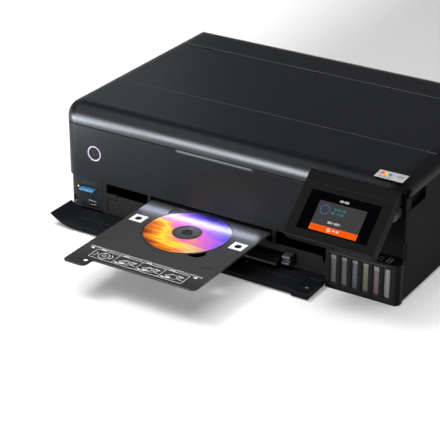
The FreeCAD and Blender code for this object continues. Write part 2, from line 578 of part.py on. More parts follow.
def build_card_bezel():
    y0, depth = LOWER_Y, CORNER_L + 4
    shell = wrap_shell(BEZEL_X, y0, BEZEL_INSET, WALL, depth, COVER_Z + 5, PANEL_Z - GAP)
    left = LEFT + BEZEL_INSET
    # the recess ends short of the side, where the plate runs on round the corner
    recess = [(BEZEL_X - 4, y0 - 1), (BEZEL_X - 4, y0 + BEZEL_STEP),
              (left + BEZEL_STEP, y0 + BEZEL_STEP, CORNER_L - y0 - BEZEL_STEP),
              (left + BEZEL_STEP, y0 + 9.5), (left - 5, y0 + 9.5), (left - 5, y0 - 1)]
    floor_z = COVER_Z + 7
    cut = prism("xy", recess, floor_z, BEZEL_STEP_Z)
    back = wrap_shell(BEZEL_X - 1, y0 + BEZEL_STEP, BEZEL_INSET + BEZEL_STEP, 2.0, depth,
                      floor_z - 2, BEZEL_STEP_Z + 2)
    shell = shell.cut(cut).fuse(back)
    slot_x = (CARD_X - CARD_W / 2 - RUN, CARD_X + CARD_W / 2 + RUN)
    slot_z = (CARD_Z - CARD_T / 2 - RUN, CARD_Z + CARD_T / 2 + RUN)
    inner_y = y0 - CARD_OUT + CARD_L + 1
    reader = box(grown(slot_x, 1.4), (y0 + WALL, inner_y + 1.4), grown(slot_z, 1.4))
    slot = box(slot_x, (y0 - 1, inner_y), slot_z)
    throat = prism("xz", [(slot_x[0] - 4, CARD_Z - 1, 0.8), (slot_x[0] + 1, CARD_Z - 4.2, 1.5),
                          (slot_x[1] - 1, CARD_Z - 4.2, 1.5), (slot_x[1] + 4, CARD_Z + 1, 0.8),
                          (slot_x[1] - 1, CARD_Z + 4.2, 1.5), (slot_x[0] + 1, CARD_Z + 4.2, 1.5)],
                   y0 - 1, y0 + 1.6)
    shell = shell.fuse(reader).cut(slot).cut(throat)
    led = rod("y", LED_X, LED_Z, LED_R + 0.1, y0 - 1, y0 + 30)
    usb_room = box((USB_X - USB_W / 2 - 0.1, USB_X + USB_W / 2 + 0.1), (y0 - 1, y0 + 30),
                   (USB_Z - USB_H / 2 - 0.1, USB_Z + USB_H / 2 + 0.1))
    jack = rod("y", JACK_X, JACK_Z, JACK_R, y0, y0 + BEZEL_STEP + 20)
    piece("card_bezel", shell.cut(led).cut(usb_room).cut(jack).removeSplitter())
    piece("card_led", rod("y", LED_X, LED_Z, LED_R, y0 - 0.2, y0 + 6))
    usb_y = y0 + BEZEL_STEP
    socket = box((USB_X - USB_W / 2, USB_X + USB_W / 2), (usb_y - 0.4, usb_y + USB_L),
                 (USB_Z - USB_H / 2, USB_Z + USB_H / 2))
    room = box((USB_X - USB_W / 2 + 0.4, USB_X + USB_W / 2 - 0.4), (usb_y - 1, usb_y + USB_L - 1),
               (USB_Z - USB_H / 2 + 0.4, USB_Z + USB_H / 2 - 0.4))
    tongue = box((USB_X - 5.5, USB_X + 5.5), (usb_y + 1, usb_y + USB_L), (USB_Z + 0.3, USB_Z + 2.1))
    piece("usb_port", socket.cut(room).fuse(tongue).removeSplitter())
    x0, x1 = CARD_X - CARD_W / 2, CARD_X + CARD_W / 2
    y_front = y0 - CARD_OUT
    card = prism("xy", [(x0, y_front, 0.8), (x1, y_front, 0.8), (x1, y_front + CARD_L - 4),
                        (x1 - 4, y_front + CARD_L), (x0, y_front + CARD_L)],
                 CARD_Z - CARD_T / 2, CARD_Z + CARD_T / 2)
    grip = box((x0 + 3, x1 - 3), (y_front + 1.4, y_front + 2.4), (CARD_Z + CARD_T / 2 - 0.3, CARD_Z + 5))
    piece("memory_card", card.cut(grip))


def build_slot_frame():
    y = (LOWER_Y, LOWER_Y + 3)
    left = (BEZEL_X + GAP, CASS_X[0] - FACE_GAP)
    right = (CASS_X[1] + FACE_GAP, TANK_X0 - GAP)
    top = (SLOT_TOP, SLOT_TOP + 2.4)
    column_l = box(left, y, (FOOT_H + 3, SLOT_TOP))
    column_r = box(right, y, (FOOT_H + 3, BAY_FLOOR[0]))
    corner = box((left[1] - 1, CASS_X[0] + FACE_STEP[0] - FACE_GAP), y,
                 (FACE_STEP[1] + FACE_GAP, FACE_TOP + 0.6))
    guard = box((left[1] - 2, left[1]), (y[0], FRAME_Y[0] - GAP), (FOOT_H + 3, SLOT_TOP))
    guard_r = box((right[0], right[0] + 1.4), (y[0], FRAME_Y[0] - GAP), (FOOT_H + 3, BAY_FLOOR[0]))
    behind_bay = (BAY_Y + BAY_T + GAP, FRAME_Y[0] - GAP)
    guard_top = box((right[0], right[0] + 1.4), behind_bay, (BAY_FLOOR[0] - 1, SLOT_TOP + 1))
    ceiling = box((left[0], PANEL_X), (WALL + GAP, behind_bay[1]), top)
    ceiling_r = box((PANEL_X - 1, right[1]), behind_bay, top)
    sill = box((left[0], right[1]), (LOWER_Y, LOWER_Y + 3), (FOOT_H + 3, CASS_Z - RUN - 0.3))
    piece("slot_frame", fuse([column_l, column_r, corner, guard, guard_r, guard_top, ceiling,
                              ceiling_r, sill]))


# ---------------------------------------------------------------- disc tray and disc
def build_disc_tray():
    x0, x1 = DT_X
    z = (DT_TOP - DT_T, DT_TOP)
    plan = [(x0, DT_BACK, 4), (x0, DT_FRONT - TONGUE_OUT, 5), (x0 + TONGUE_W, DT_FRONT - TONGUE_OUT, 8),
            (x0 + TONGUE_W, DT_FRONT, 4), (x1, DT_FRONT, DT_CORNER), (x1, DT_BACK, 4)]
    plate = prism("xy", plan, *z)
    plate = plate.cut(rod("z", DISC_X, DISC_Y, DISC_R + 1, DT_TOP - RECESS, DT_TOP + 1))
    for turn, low in ((-45.0, z[0] - 1), (135.0, DT_TOP - RECESS - 0.5)):
        a = math.radians(turn)
        plate = plate.cut(rod("z", DISC_X + DISC_R * math.cos(a), DISC_Y + DISC_R * math.sin(a),
                              NOTCH_R, low, DT_TOP + 1))
    holes = [rod("z", x, MARK_Y, MARK_HOLE_R, z[0] - 1, DT_TOP + 1) for x in MARK_X]
    plate = plate.cut(Part.makeCompound(holes))
    pull = box((x0 + 3, x0 + TONGUE_W - 3), (DT_FRONT - 4.4, DT_FRONT - 3.6), (DT_TOP - 0.5, DT_TOP + 1))
    floor = DT_TOP - RECESS
    hub_seat = tube("z", DISC_X, DISC_Y, HUB_ZONE_R, HUB_ZONE_R - 0.8, floor - 0.3, DT_TOP + 1)
    piece("disc_tray", plate.cut(pull).cut(hub_seat))
    clip_r = DISC_BORE_R - 0.2
    clip = rod("z", DISC_X, DISC_Y, clip_r, floor, DT_TOP + 0.2)
    clip = clip.makeChamfer(0.5, [e for e in clip.Edges if e.BoundBox.ZMin > DT_TOP + 0.1])
    slits = [box((DISC_X - clip_r - 1, DISC_X + clip_r + 1), (DISC_Y - 0.4, DISC_Y + 0.4),
                 (floor + 0.6, DT_TOP + 2)),
             box((DISC_X - 0.4, DISC_X + 0.4), (DISC_Y - clip_r - 1, DISC_Y + clip_r + 1),
                 (floor + 0.6, DT_TOP + 2))]
    core = rod("z", DISC_X, DISC_Y, 3.0, floor + 0.3, DT_TOP + 2)
    piece("disc_hub", clip.cut(Part.makeCompound(slits)).cut(core))
    piece("disc", tube("z", DISC_X, DISC_Y, DISC_R, DISC_BORE_R, floor + 0.05, floor + 0.05 + DISC_T))


def build_disc_guide():
    """Two hanging walls with ledges that carry the disc tray by its long edges."""
    y = (WALL + GAP + 0.2, FRAME_Y[0] - 1)
    ledge_z = DT_TOP - DT_T - RUN
    sides = []
    for x, side, low in ((DT_X[0], -1, FACE_TOP), (DT_X[1], 1, FACE_DROP[1])):
        edge, strip = x - side * LEDGE, x + side * RUN
        wall, outer = x + side * RAIL_GAP, x + side * (RAIL_GAP + RAIL_T)
        flange = outer + side * 6
        profile = [(edge, ledge_z - 2.2), (wall, ledge_z - 2.2), (wall, low + 0.5), (outer, low + 0.5),
                   (outer, SLOT_TOP - 2.2), (flange, SLOT_TOP - 2.2), (flange, SLOT_TOP), (wall, SLOT_TOP),
                   (wall, DT_TOP - 0.6), (strip, DT_TOP - 0.6), (strip, ledge_z), (edge, ledge_z)]
        sides.append(prism("xz", profile, *y))
    piece("disc_guide", Part.makeCompound(sides))


# ---------------------------------------------------------------- flap
def build_flap():
    y_axis, z_axis = FLAP_AXIS
    back = y_axis - BARREL_R - RUN
    # its left end curls up round the housing corner and thins out to the tip
    (tip_x, tip_z), right = FLAP_TIP, BLOCK_X
    curled = []
    for x, z, r in ((tip_x, FLAP_BOTTOM, FLAP_CURL_OUT),
                    (tip_x + FLAP_TIP_T, FLAP_FLOOR, FLAP_CURL_IN)):
        turn = math.acos(1 - (tip_z - z) / r)
        curled.append((x + (tip_z - z) / math.tan(turn), z, r * 0.98))
    profile = [(right, FLAP_BOTTOM), curled[0], (tip_x, tip_z), (tip_x + FLAP_TIP_T, tip_z),
               curled[1], (right, FLAP_FLOOR)]
    slab = prism("xz", profile, FLAP_FRONT, back)
    slab = slab.cut(box(grown(FLAP_LUG, 1.0), (-3.0, 1.0), (0, tip_z)))
    groove = box((curled[1][0] + 4, right - 4), (-24.2, -23.0), (FLAP_FLOOR - 0.6, FLAP_FLOOR + 1))
    slab = slab.cut(groove)
    block = prism("yz", [(FLAP_FRONT - 3.0, BLOCK_Z[0], 2), (FLAP_FRONT - 3.0, BLOCK_Z[1], 1),
                         (back, BLOCK_Z[1], 1), (back, FLAP_BOTTOM)], BLOCK_X, FLAP_RIGHT)
    block = block.common(box((BLOCK_X, FLAP_RIGHT), (FLAP_FRONT - 4, TANK_FRONT - 0.6), (0, 20)))
    rim = box((BLOCK_X + 4, FLAP_RIGHT - 4), (FLAP_FRONT + 1, TANK_FRONT - 4),
              (BLOCK_Z[1] - 0.8, BLOCK_Z[1] + 1))
    screw_x, screw_y = FLAP_RIGHT - 9.8, FLAP_FRONT + 14.6
    screw = rod("z", screw_x, screw_y, 2.6, BLOCK_Z[1] - 2, BLOCK_Z[1] + 1)
    post = rod("z", screw_x, screw_y, 2.2, BLOCK_Z[1] - 2.5, BLOCK_Z[1] - 1.0)
    block = block.cut(rim).cut(screw).fuse(post)
    barrel_x = (BARREL_X0, TANK_X0 - 1.2)
    barrel = rod("x", y_axis, z_axis, BARREL_R, *barrel_x)
    web = box(barrel_x, (back - 1, y_axis), (z_axis - 2.4, z_axis + 2.4))
    join = box((BLOCK_X - 1, TANK_X0 - 1.2), (TANK_FRONT - 1, y_axis), (z_axis - 2.4, z_axis + 2.4))
    pins = [rod("x", y_axis, z_axis, FLAP_PIN_R, barrel_x[0] - 6, barrel_x[0] + 1),
            rod("x", y_axis, z_axis, FLAP_PIN_R, barrel_x[1] - 1, barrel_x[1] + 3)]
    piece("front_flap", fuse([slab, block, barrel, web, join] + pins))


# ---------------------------------------------------------------- cassette and output tray
def build_cassette():
    x0, x1 = CASS_X
    y = (LOWER_Y + FACE_T, LOWER_Y + CASS_D)
    shelf_y = (LOWER_Y + SHELF_Y[0], LOWER_Y + SHELF_Y[1])
    shell = box(CASS_X, y, (CASS_Z, CASS_RIM))
    inside = grown(CASS_X, -CASS_WALL)
    room = box(inside, (shelf_y[0] + CASS_WALL, y[1] - CASS_WALL), (CASS_Z + CASS_FLOOR_T, CASS_RIM + 1))
    front_room = box(inside, (y[0] - 1, shelf_y[0]), (CASS_Z + CASS_FLOOR_T, CASS_RIM + 1))
    shelf_z = (STACK_PLATE_Z - RUN - SHELF_T, STACK_PLATE_Z - RUN)
    low_rail = box(inside, (shelf_y[0] - 1, shelf_y[0] + CASS_WALL + 1), (shelf_z[0], CASS_RIM + 1))
    shelf = box(inside, shelf_y, shelf_z)
    tray = shell.cut(room).cut(front_room).cut(low_rail)
    stops = [box((x, x + 2), STOP_Y, (CASS_Z + 1, CASS_Z + 1 + STOP_H))
             for x in (x0 + STOP_IN, x1 - STOP_IN - 2)]
    piece("cassette", fuse([tray, shelf] + stops))
    step_w, step_z = FACE_STEP
    nick_w, nick_top, nick_low = FACE_NICK
    drop_x, drop_z = FACE_DROP
    face = [(x0, CASS_Z), (x0, step_z), (x0 + step_w, step_z), (x0 + step_w, FACE_TOP),
            (drop_x - 4, FACE_TOP), (drop_x, drop_z), (x1 - nick_w, drop_z), (x1 - nick_w, nick_top),
            (x1, nick_low), (x1, CASS_Z)]
    plate = prism("xz", face, LOWER_Y, LOWER_Y + FACE_T)
    window = box((STACK_X[0] - 3, HOOK_X[1] + 3), (0, 50), (0, STACK_TOP + 1.8)).fuse(
        box((HOOK_X[0] - 1.5, HOOK_X[1] + 3), (0, 50), (0, HOOK_TOP + 1.5)))
    pull = prism("xz", rect((-60, 30), (27.5, 34.0), 2.5), LOWER_Y - 1, LOWER_Y + 1.2)
    piece("cassette_face", plate.cut(window).cut(pull))


def build_output_tray():
    z_top, z_low = STACK_TOP, CASS_Z + 2.1
    back = LOWER_Y - 1.0
    lip = [(back, z_low), (-4.0, z_low), (STACK_FRONT, z_low + 1.2, 1.2),
           (STACK_FRONT + 1.0, z_low + 5, 2), (-6.0, z_top, 5), (back, z_top)]
    bar = prism("yz", lip, *STACK_X)
    bar = bar.cut(prism("yz", [(-8, z_low + 2), (back + 1, z_low + 2), (back + 1, z_top - 2.2),
                               (-5, z_top - 2.2)], STACK_X[0] + 3, STACK_X[1] - 3))
    plate_z = (STACK_PLATE_Z, STACK_PLATE_Z + STACK_PLATE_T)
    plate = box(STACK_X, (back - 1, LOWER_Y + STACK_DEPTH), plate_z)
    first, last = STACK_X[0] + 18.0, STACK_X[1] - 18.5
    ribs = [box((x - 1.2, x + 1.2), (LOWER_Y + 2, LOWER_Y + STACK_DEPTH), (plate_z[1], STACK_TOP))
            for x in spread(first, last, STACK_RIBS)]
    step = box(STACK_X, (back - 1, back + 5), (STACK_PLATE_Z, z_top))
    piece("output_tray", fuse([bar, plate, step] + ribs))
    hook = [(back + 2, z_low + 1), (-7.0, z_low + 1, 1.5), (-7.0, 20.0, 1.5), (-3.0, 20.0, 0.6),
            (-3.0, 23.0, 0.6), (-6.0, 23.0, 1.0), (-6.0, HOOK_TOP, 2.5), (back + 2, HOOK_TOP)]
    claw = prism("yz", hook, *HOOK_X)
    foot = box((STACK_X[1], HOOK_X[1]), (back - 1, back + 2), plate_z)
    piece("tray_hook", fuse([claw, foot]))


# ---------------------------------------------------------------- ink tanks
def tank_x(i):
    return WINDOW_X0 + WINDOW_W / 2 + i * WINDOW_PITCH


def build_tanks():
    y0 = TANK_FRONT
    side, w = RIGHT, TANK_WALL
    plan = [(TANK_X0, y0), (side - TANK_CHAMFER, y0), (side, y0 + TANK_CHAMFER), (side, LOWER_Y),
            (side - w, LOWER_Y), (side - w, y0 + TANK_CHAMFER + 1), (side - TANK_CHAMFER - 1, y0 + w),
            (TANK_X0 + w, y0 + w), (TANK_X0 + w, TANK_BACK_Y), (TANK_X0, TANK_BACK_Y)]
    shell = prism("xy", plan, TANK_LOW, TANK_TOP)
    behind = (BAY_Y + BAY_T + 1, TANK_BACK_Y + 1)
    left_wall_top = box((TANK_X0 - 1, TANK_X0 + w + 0.1), behind, (DECK_Z - 4, TANK_TOP + 1))
    left_wall_foot = box((TANK_X0 - 1, TANK_X0 + w + 0.1), (LOWER_Y, TANK_BACK_Y + 1), (0, FOOT_H))
    shell = shell.cut(left_wall_top).cut(left_wall_foot)
    for i in range(TANK_COUNT):
        x = tank_x(i)
        across = (x - WINDOW_W / 2, x + WINDOW_W / 2)
        frame = prism("xz", rect(grown(across, 1.6), grown(WINDOW_Z, 1.6), 1.6), y0 - 1, y0 + 0.7)
        hole = prism("xz", rect(across, WINDOW_Z, 0.8), y0 - 1, y0 + w + 1)
        shell = shell.cut(frame).cut(hole)
    pin_hole = rod("x", FLAP_AXIS[0], FLAP_AXIS[1], FLAP_PIN_R + SHAFT_FIT, TANK_X0 - 1, TANK_X0 + w + 1)
    piece("tank_housing", shell.cut(pin_hole))
    deck = [(TANK_X0, y0), (side - TANK_CHAMFER, y0), (side, y0 + TANK_CHAMFER), (side, LOWER_Y),
            (side - WALL - RUN, LOWER_Y), (side - WALL - RUN, BAY_Y + BAY_T), (TANK_X0, BAY_Y + BAY_T)]
    plate = prism("xy", deck, TANK_TOP, DECK_Z)
    edges = [e for e in plate.Edges if e.BoundBox.ZMin > DECK_Z - 0.01
             and e.BoundBox.YMax < y0 + TANK_CHAMFER + 0.01]
    piece("tank_deck", plate.makeChamfer(1.4, edges))
    low = FOOT_H + TANK_FLOOR_T + RUN
    front_top, neck_y = TANK_TOP - 1.5, BAY_Y + BAY_T + 2.0
    profile = [(y0 + w + RUN, low, 2), (y0 + w + RUN, front_top, 2), (neck_y, front_top),
               (neck_y, TANK_HIGH, 4), (y0 + TANK_D, TANK_HIGH, 4), (y0 + TANK_D, low, 2)]
    caps = []
    for i in range(TANK_COUNT):
        x = tank_x(i)
        span = (x - TANK_W / 2, x + TANK_W / 2)
        neck = tube("z", x, NECK_Y, NECK_R, NECK_R - 1.4, TANK_HIGH - 3, TANK_HIGH + 6)
        body = prism("yz", profile, *span)
        piece("ink_tank_%d" % (i + 1), body.fuse(neck).removeSplitter())
        cap = rod("z", x, NECK_Y, CAP_R, TANK_HIGH + 0.1, CAP_TOP)
        cap = cap.cut(rod("z", x, NECK_Y, NECK_R + 0.1, TANK_HIGH, TANK_HIGH + 6.2))
        tab = box((x - 1.4, x + 1.4), (NECK_Y - CAP_R - 3, NECK_Y), (CAP_TOP - 3, CAP_TOP))
        caps.append(cap.fuse(tab).removeSplitter())
    piece("tank_caps", Part.makeCompound(caps))


# ---------------------------------------------------------------- touch panel
def tilted(shape, angle=-TILT):
    shape = shape.copy()
    shape.rotate(V(0, CP_AXIS[0], CP_AXIS[1]), V(1, 0, 0), angle)
    return shape


def build_control_panel():
    x0, x1 = CP_X
    front, back_low, back_high = CP_FACE_Y, CP_FACE_Y + CP_T_LOW, CP_FACE_Y + CP_T_HIGH
    z0, z1 = CP_TOP - CP_H, CP_TOP
    side = prism("yz", [(front, z0, 2), (front, z1, 1.6), (back_high, z1 - CP_DROP, 2),
                        (back_high, z1 - CP_DROP - 6, 2), (back_low, z1 - CP_DROP - 14, 3),
                        (back_low, z0, 2)], x0, x1)
    face = prism("xz", [(x0, z0, 3), (x1, z0, 3), (x1, z1, CP_CORNER), (x0, z1, CP_CORNER)],
                 front - 1, back_high + 1)
    block = side.common(face)
    screen_z = (z1 - SCREEN_TOP - SCREEN_H, z1 - SCREEN_TOP)
    pocket = prism("xz", rect(SCREEN_X, screen_z, 1.0), front - 1, front + SCREEN_T)
    room = box(grown(CP_X, -CP_WALL), (front + CP_WALL + SCREEN_T, back_low + 9), (z0 + CP_WALL, z1 - 16))
    seam = box(grown(CP_X, 1), (front - 1, front + 0.5), (z1 - CP_SEAM - 0.4, z1 - CP_SEAM + 0.4))
    ears = []
    for x in (x0 + EAR_IN, x1 - EAR_IN - EAR_T):
        ear = prism("yz", [(CP_AXIS[0] - EAR_R, z1 - 6), (CP_AXIS[0] + EAR_R, z1 - 6),
                           (CP_AXIS[0] + EAR_R, CP_AXIS[1]), (CP_AXIS[0] - EAR_R, CP_AXIS[1])], x, x + EAR_T)
        ear = ear.fuse(rod("x", CP_AXIS[0], CP_AXIS[1], EAR_R, x, x + EAR_T))
        ears.append(ear.cut(rod("x", CP_AXIS[0], CP_AXIS[1], PIN_R + SHAFT_FIT, x - 1, x + EAR_T + 1)))
    shell = block.cut(room).cut(pocket).cut(seam)
    piece("panel_shell", tilted(fuse([shell] + ears)))
    glass = prism("xz", rect(grown(SCREEN_X, -0.1), grown(screen_z, -0.1), 0.9),
                  front + 0.1, front + SCREEN_T)
    piece("panel_glass", tilted(glass))
    cover = box(grown(CP_X, -CP_WALL - 0.1), (back_low - 2.0, back_low), (z0 + CP_WALL + 0.1, z1 - 16.1))
    vents = [box((x0 + 36 + i * 9, x0 + 40 + i * 9), (back_low - 3, back_low + 1), (z0 + 20, z0 + 40))
             for i in range(7)]
    piece("panel_back", tilted(cover.cut(Part.makeCompound(vents))))
    r_in, r_out = ARM_R
    sweep = TILT + 20.0
    ring = tube("x", CP_AXIS[0], CP_AXIS[1], r_out, r_in, *ARM_X)
    far = r_out * 3
    a0 = math.asin((back_low - CP_AXIS[0]) / r_out)
    a1 = math.radians(sweep)
    wedge = [(CP_AXIS[0], CP_AXIS[1]),
             (CP_AXIS[0] + far * math.sin(a0), CP_AXIS[1] - far * math.cos(a0)),
             (CP_AXIS[0] + far * math.sin(a1), CP_AXIS[1] - far * math.cos(a1))]
    arm = ring.common(prism("yz", wedge, ARM_X[0] - 1, ARM_X[1] + 1))
    arm = arm.cut(box(ARM_X, (CP_FACE_Y, back_low), (0, BODY_H)))
    flange = box(ARM_X, (back_low, back_low + 2.5), (CP_AXIS[1] - r_out - 3, CP_AXIS[1] - r_in + 2))
    piece("panel_arm", tilted(fuse([arm, flange])))


def build_bay():
    """Recess behind the closed touch panel, with the pins that carry it."""
    right, top = RIGHT - WALL - RUN, CP_AXIS[1] - 2.1
    wall_x = (PANEL_X + GAP, right)
    back = box(wall_x, (BAY_Y, BAY_Y + BAY_T), (DECK_Z, top))
    slot = box((ARM_X[0] - 1.0, ARM_X[1] + 1.0), (BAY_Y - 1, BAY_Y + BAY_T + 1),
               (CP_AXIS[1] - ARM_R[1] - 2, CP_AXIS[1] - ARM_R[0] + 4))
    back = back.cut(slot)
    cheek = box((PANEL_X + GAP, CP_X[0] - RUN), (WALL + GAP, BAY_Y + 1), (PANEL_Z, top))
    floor = box((PANEL_X + GAP, TANK_X0 - GAP), (0, BAY_Y + 1), BAY_FLOOR)
    # two thin brackets beside the panel reach forward from the wall and hold the hinge pins
    arms = []
    pin_in = EAR_IN + EAR_T + 1
    for x, pin in (((PANEL_X + GAP, CP_X[0] - RUN), (PANEL_X + 1, CP_X[0] + pin_in)),
                   ((CP_X[1] + RUN, CP_X[1] + RUN + ARM_PLATE), (CP_X[1] - pin_in, CP_X[1] + RUN + 1))):
        arm = prism("yz", [(CP_AXIS[0] - 1.5, CP_AXIS[1] - 1.8), (BAY_Y + 1, CP_AXIS[1] - 8.0),
                           (BAY_Y + 1, CP_AXIS[1] - 1.0), (CP_AXIS[0] - 1.5, CP_AXIS[1] - 1.0)], *x)
        nose = rod("x", CP_AXIS[0], CP_AXIS[1], EAR_R - 0.2, *x)
        arms.append(fuse([arm, nose, rod("x", CP_AXIS[0], CP_AXIS[1], PIN_R, *pin)]))
    back = fuse([back, cheek, floor] + arms)
    piece("panel_bay", back)


# ---------------------------------------------------------------- print mechanism
def build_mechanism():
    x0, x1 = FRAME_X
    tray_under = DT_TOP - DT_T
    axes = {"eject": (ROLL_AXIS_Y[0], tray_under - RUN - EJECT_R),
            "feed": (ROLL_AXIS_Y[1], tray_under - RUN - FEED_R)}
    plates = []
    for x in ((x0 - FRAME_T, x0), (x1, x1 + FRAME_T)):
        plate = box(x, FRAME_Y, (FOOT_H + 3, FRAME_TOP))
        for y, z in axes.values():
            plate = plate.cut(rod("x", y, z, SHAFT_R + SHAFT_FIT, x[0] - 1, x[1] + 1))
        plates.append(plate)
    piece("mech_frame", Part.makeCompound(plates))
    for name, r in (("eject", EJECT_R), ("feed", FEED_R)):
        y, z = axes[name]
        shaft = rod("x", y, z, SHAFT_R, x0 - FRAME_T - 1, x1 + FRAME_T + 1)
        rubbers = [rod("x", y, z, r, x - RUBBER_W / 2, x + RUBBER_W / 2)
                   for x in spread(x0 + 30, x1 - 30, RUBBER_COUNT)]
        piece(name + "_roller", fuse([shaft] + rubbers))
    top = tray_under - RUN
    plate = box((x0, x1), PLATEN_Y, (top - 4.0, top - 1.6))
    ribs = [box((x - 1, x + 1), grown(PLATEN_Y, -2), (top - 1.7, top))
            for x in spread(x0 + 15, x1 - 7, PLATEN_RIBS)]
    feet = [box(x, PLATEN_Y, (top - 10, top - 1.6)) for x in ((x0, x0 + 3), (x1 - 3, x1))]
    piece("platen", fuse([plate] + feet + ribs))
    y, z = ROLL_AXIS_Y[0], DT_TOP + 0.9 + STAR_R
    bar = box((x0, x1), (y - 5, y + 5), (z + 1.0, z + 5.5))
    stars = []
    for x in spread(x0 + 20, x1 - 20, STAR_COUNT):
        stars.append(rod("x", y, z, STAR_R, x - STAR_T / 2, x + STAR_T / 2))
        stars.append(box((x - 2.4, x + 2.4), (y - 3, y + 3), (z - 0.6, z + 1.2)))
    piece("star_wheel_bar", fuse([bar] + stars))
    z0, z1 = RAIL_Z
    beam = prism("yz", [(RAIL_Y, z0), (RAIL_Y + 8, z0), (RAIL_Y + 8, z0 + 2), (RAIL_Y + 2, z0 + 2),
                        (RAIL_Y + 2, z1 - 2), (RAIL_Y + RAIL_D, z1 - 2), (RAIL_Y + RAIL_D, z1), (RAIL_Y, z1)],
                 x0, x1)
    motor_hole = rod("z", PULLEY_X[0], PULLEY_Y, 4.0, z1 - 3, z1 + 1)
    idler = fuse([rod("z", PULLEY_X[1], PULLEY_Y, 2.5, z1 - 1, BELT_Z + BELT_W + 1.5),
                  rod("z", PULLEY_X[1], PULLEY_Y, PULLEY_R - 0.1, BELT_Z - 0.6, BELT_Z + BELT_W + 0.6)])
    guide = rod("x", ROD_Y, ROD_Z, ROD_R, x0, x1)
    piece("carriage_rail", Part.makeCompound([fuse([beam.cut(motor_hole), idler]), guide]))
    motor = fuse([rod("z", PULLEY_X[0], PULLEY_Y, MOTOR_R, z1 - 2 - MOTOR_H, z1 - 2),
                  rod("z", PULLEY_X[0], PULLEY_Y, 3.8, z1 - 3, z1 + 0.6),
                  rod("z", PULLEY_X[0], PULLEY_Y, 2.0, z1, BELT_Z + BELT_W + 2)])
    piece("carriage_motor", motor)
    gear = tube("z", PULLEY_X[0], PULLEY_Y, PULLEY_R - RUN, 2.0 + SHAFT_FIT,
                BELT_Z - 1.4, BELT_Z + BELT_W + 1)
    mark = rod("z", PULLEY_X[0] + 4.8, PULLEY_Y, 1.2, BELT_Z + BELT_W, BELT_Z + BELT_W + 2)
    piece("drive_pulley", gear.cut(mark))
    outer = belt_loop(PULLEY_R + BELT_T)
    piece("drive_belt", outer.cut(belt_loop(PULLEY_R)))
    build_carriage()
    deck_z = (FRAME_TOP, FRAME_TOP + DECK_PLATE_T)
    plate = box((LEFT + WALL + RUN, RIGHT - WALL - RUN), (CORNER_L + 4, TOP_SEAM_Y + 5.2), deck_z)
    window = prism("xy", rect((x0 + 2, x1 - 2), (CARR_Y[0] - 9, PULLEY_Y + PULLEY_R + 7), 8),
                   deck_z[0] - 1, deck_z[1] + 1)
    caps = prism("xy", rect((TANK_X0 + 2, RIGHT - 10), (NECK_Y - CAP_R - 6, NECK_Y + CAP_R + 3), 4),
                 deck_z[0] - 1, deck_z[1] + 1)
    piece("inner_deck", plate.cut(window).cut(caps))


def belt_loop(r):
    low, high = BELT_Z, BELT_Z + BELT_W
    ends = [rod("z", x, PULLEY_Y, r, low, high) for x in PULLEY_X]
    return fuse(ends + [box(PULLEY_X, (PULLEY_Y - r, PULLEY_Y + r), (low, high))])


def build_carriage():
    x = (CARR_X - CARR_W / 2, CARR_X + CARR_W / 2)
    y0, y1 = CARR_Y
    z0, z1 = CARR_Z
    body = prism("yz", [(y0, z0 + 4, 2), (y0, z1 - 8, 4), (y0 + 12, z1, 4), (y1, z1), (y1, z0 + 12),
                        (y1 - 12, z0, 2), (y0 + 10, z0, 2)], *x)
    clamp_y = PULLEY_Y - PULLEY_R - BELT_T - RUN
    clamp_z = RAIL_Z[1] + 0.5
    arm = box((CARR_X - 14, CARR_X + 14), (y0 + 30, clamp_y), (z1 - 1, BELT_Z + BELT_W + 1))
    arm = arm.cut(box((CARR_X - 15, CARR_X + 15), (y1, clamp_y + 1), (z1 - 2, clamp_z)))
    lid_groove = box((x[0] + 6, x[1] - 6), (y0 + 18, y0 + 19), (z1 - 0.8, z1 + 1))
    body = fuse([body, arm]).cut(rod("x", ROD_Y, ROD_Z, ROD_R + SHAFT_FIT, x[0] - 1, x[1] + 1))
    piece("carriage", body.cut(lid_groove))


# ---------------------------------------------------------------- rear feed
def rear_block(inset, front, low):
    """Rear top cover: flat top, round towards the back, rolled side edges."""
    back, top = BODY_D - (inset and inset + 1.4), BODY_H - inset
    arc = BACK_ARC_R - (BODY_D - back)
    side = prism("yz", [(front, low), (front, top), (back, top, arc), (back, low)], LEFT + inset, RIGHT - inset)
    rounded = prism("xz", [(LEFT + inset, low), (RIGHT - inset, low), (RIGHT - inset, top, ROLL_R - inset),
                           (LEFT + inset, top, ROLL_R - inset)], 0, BODY_D)
    return side.common(rounded)


def build_rear_cover():
    front = TOP_SEAM_Y + KNUCKLE + 0.8
    low = FEED_SEAM_Z - 20
    cover = rear_block(0, front, low).cut(rear_block(LID_WALL, front - 1, low - 1))
    drop = box((LEFT - 1, RIGHT + 1), (front - 1, BODY_D + 1), (low - 1, SIDE_SEAM_Z))
    keep_x = (LEFT + WALL + RUN, RIGHT - WALL - RUN)
    rear_keep = box(keep_x, (BODY_D - 12, BODY_D + 1), (FEED_SEAM_Z, SIDE_SEAM_Z))
    cover = cover.cut(drop.cut(rear_keep))
    cover = cover.fuse(rod("x", FEED_AXIS[0], FEED_AXIS[1], KNUCKLE, keep_x[0] + WALL, keep_x[1] - WALL))
    for x in FEED_LUG_X:
        cover = cover.cut(box((x - RUN, x + LUG_W + RUN), (BODY_D - 12, BODY_D + 1),
                              (low, FEED_SEAM_Z + KNUCKLE + 0.6)))
        cover = cover.cut(rod("x", FEED_AXIS[0], FEED_AXIS[1], PIN_R + SHAFT_FIT,
                              x - 3 * LUG_W, x + 4 * LUG_W))
    piece("rear_feed_cover", cover.removeSplitter())


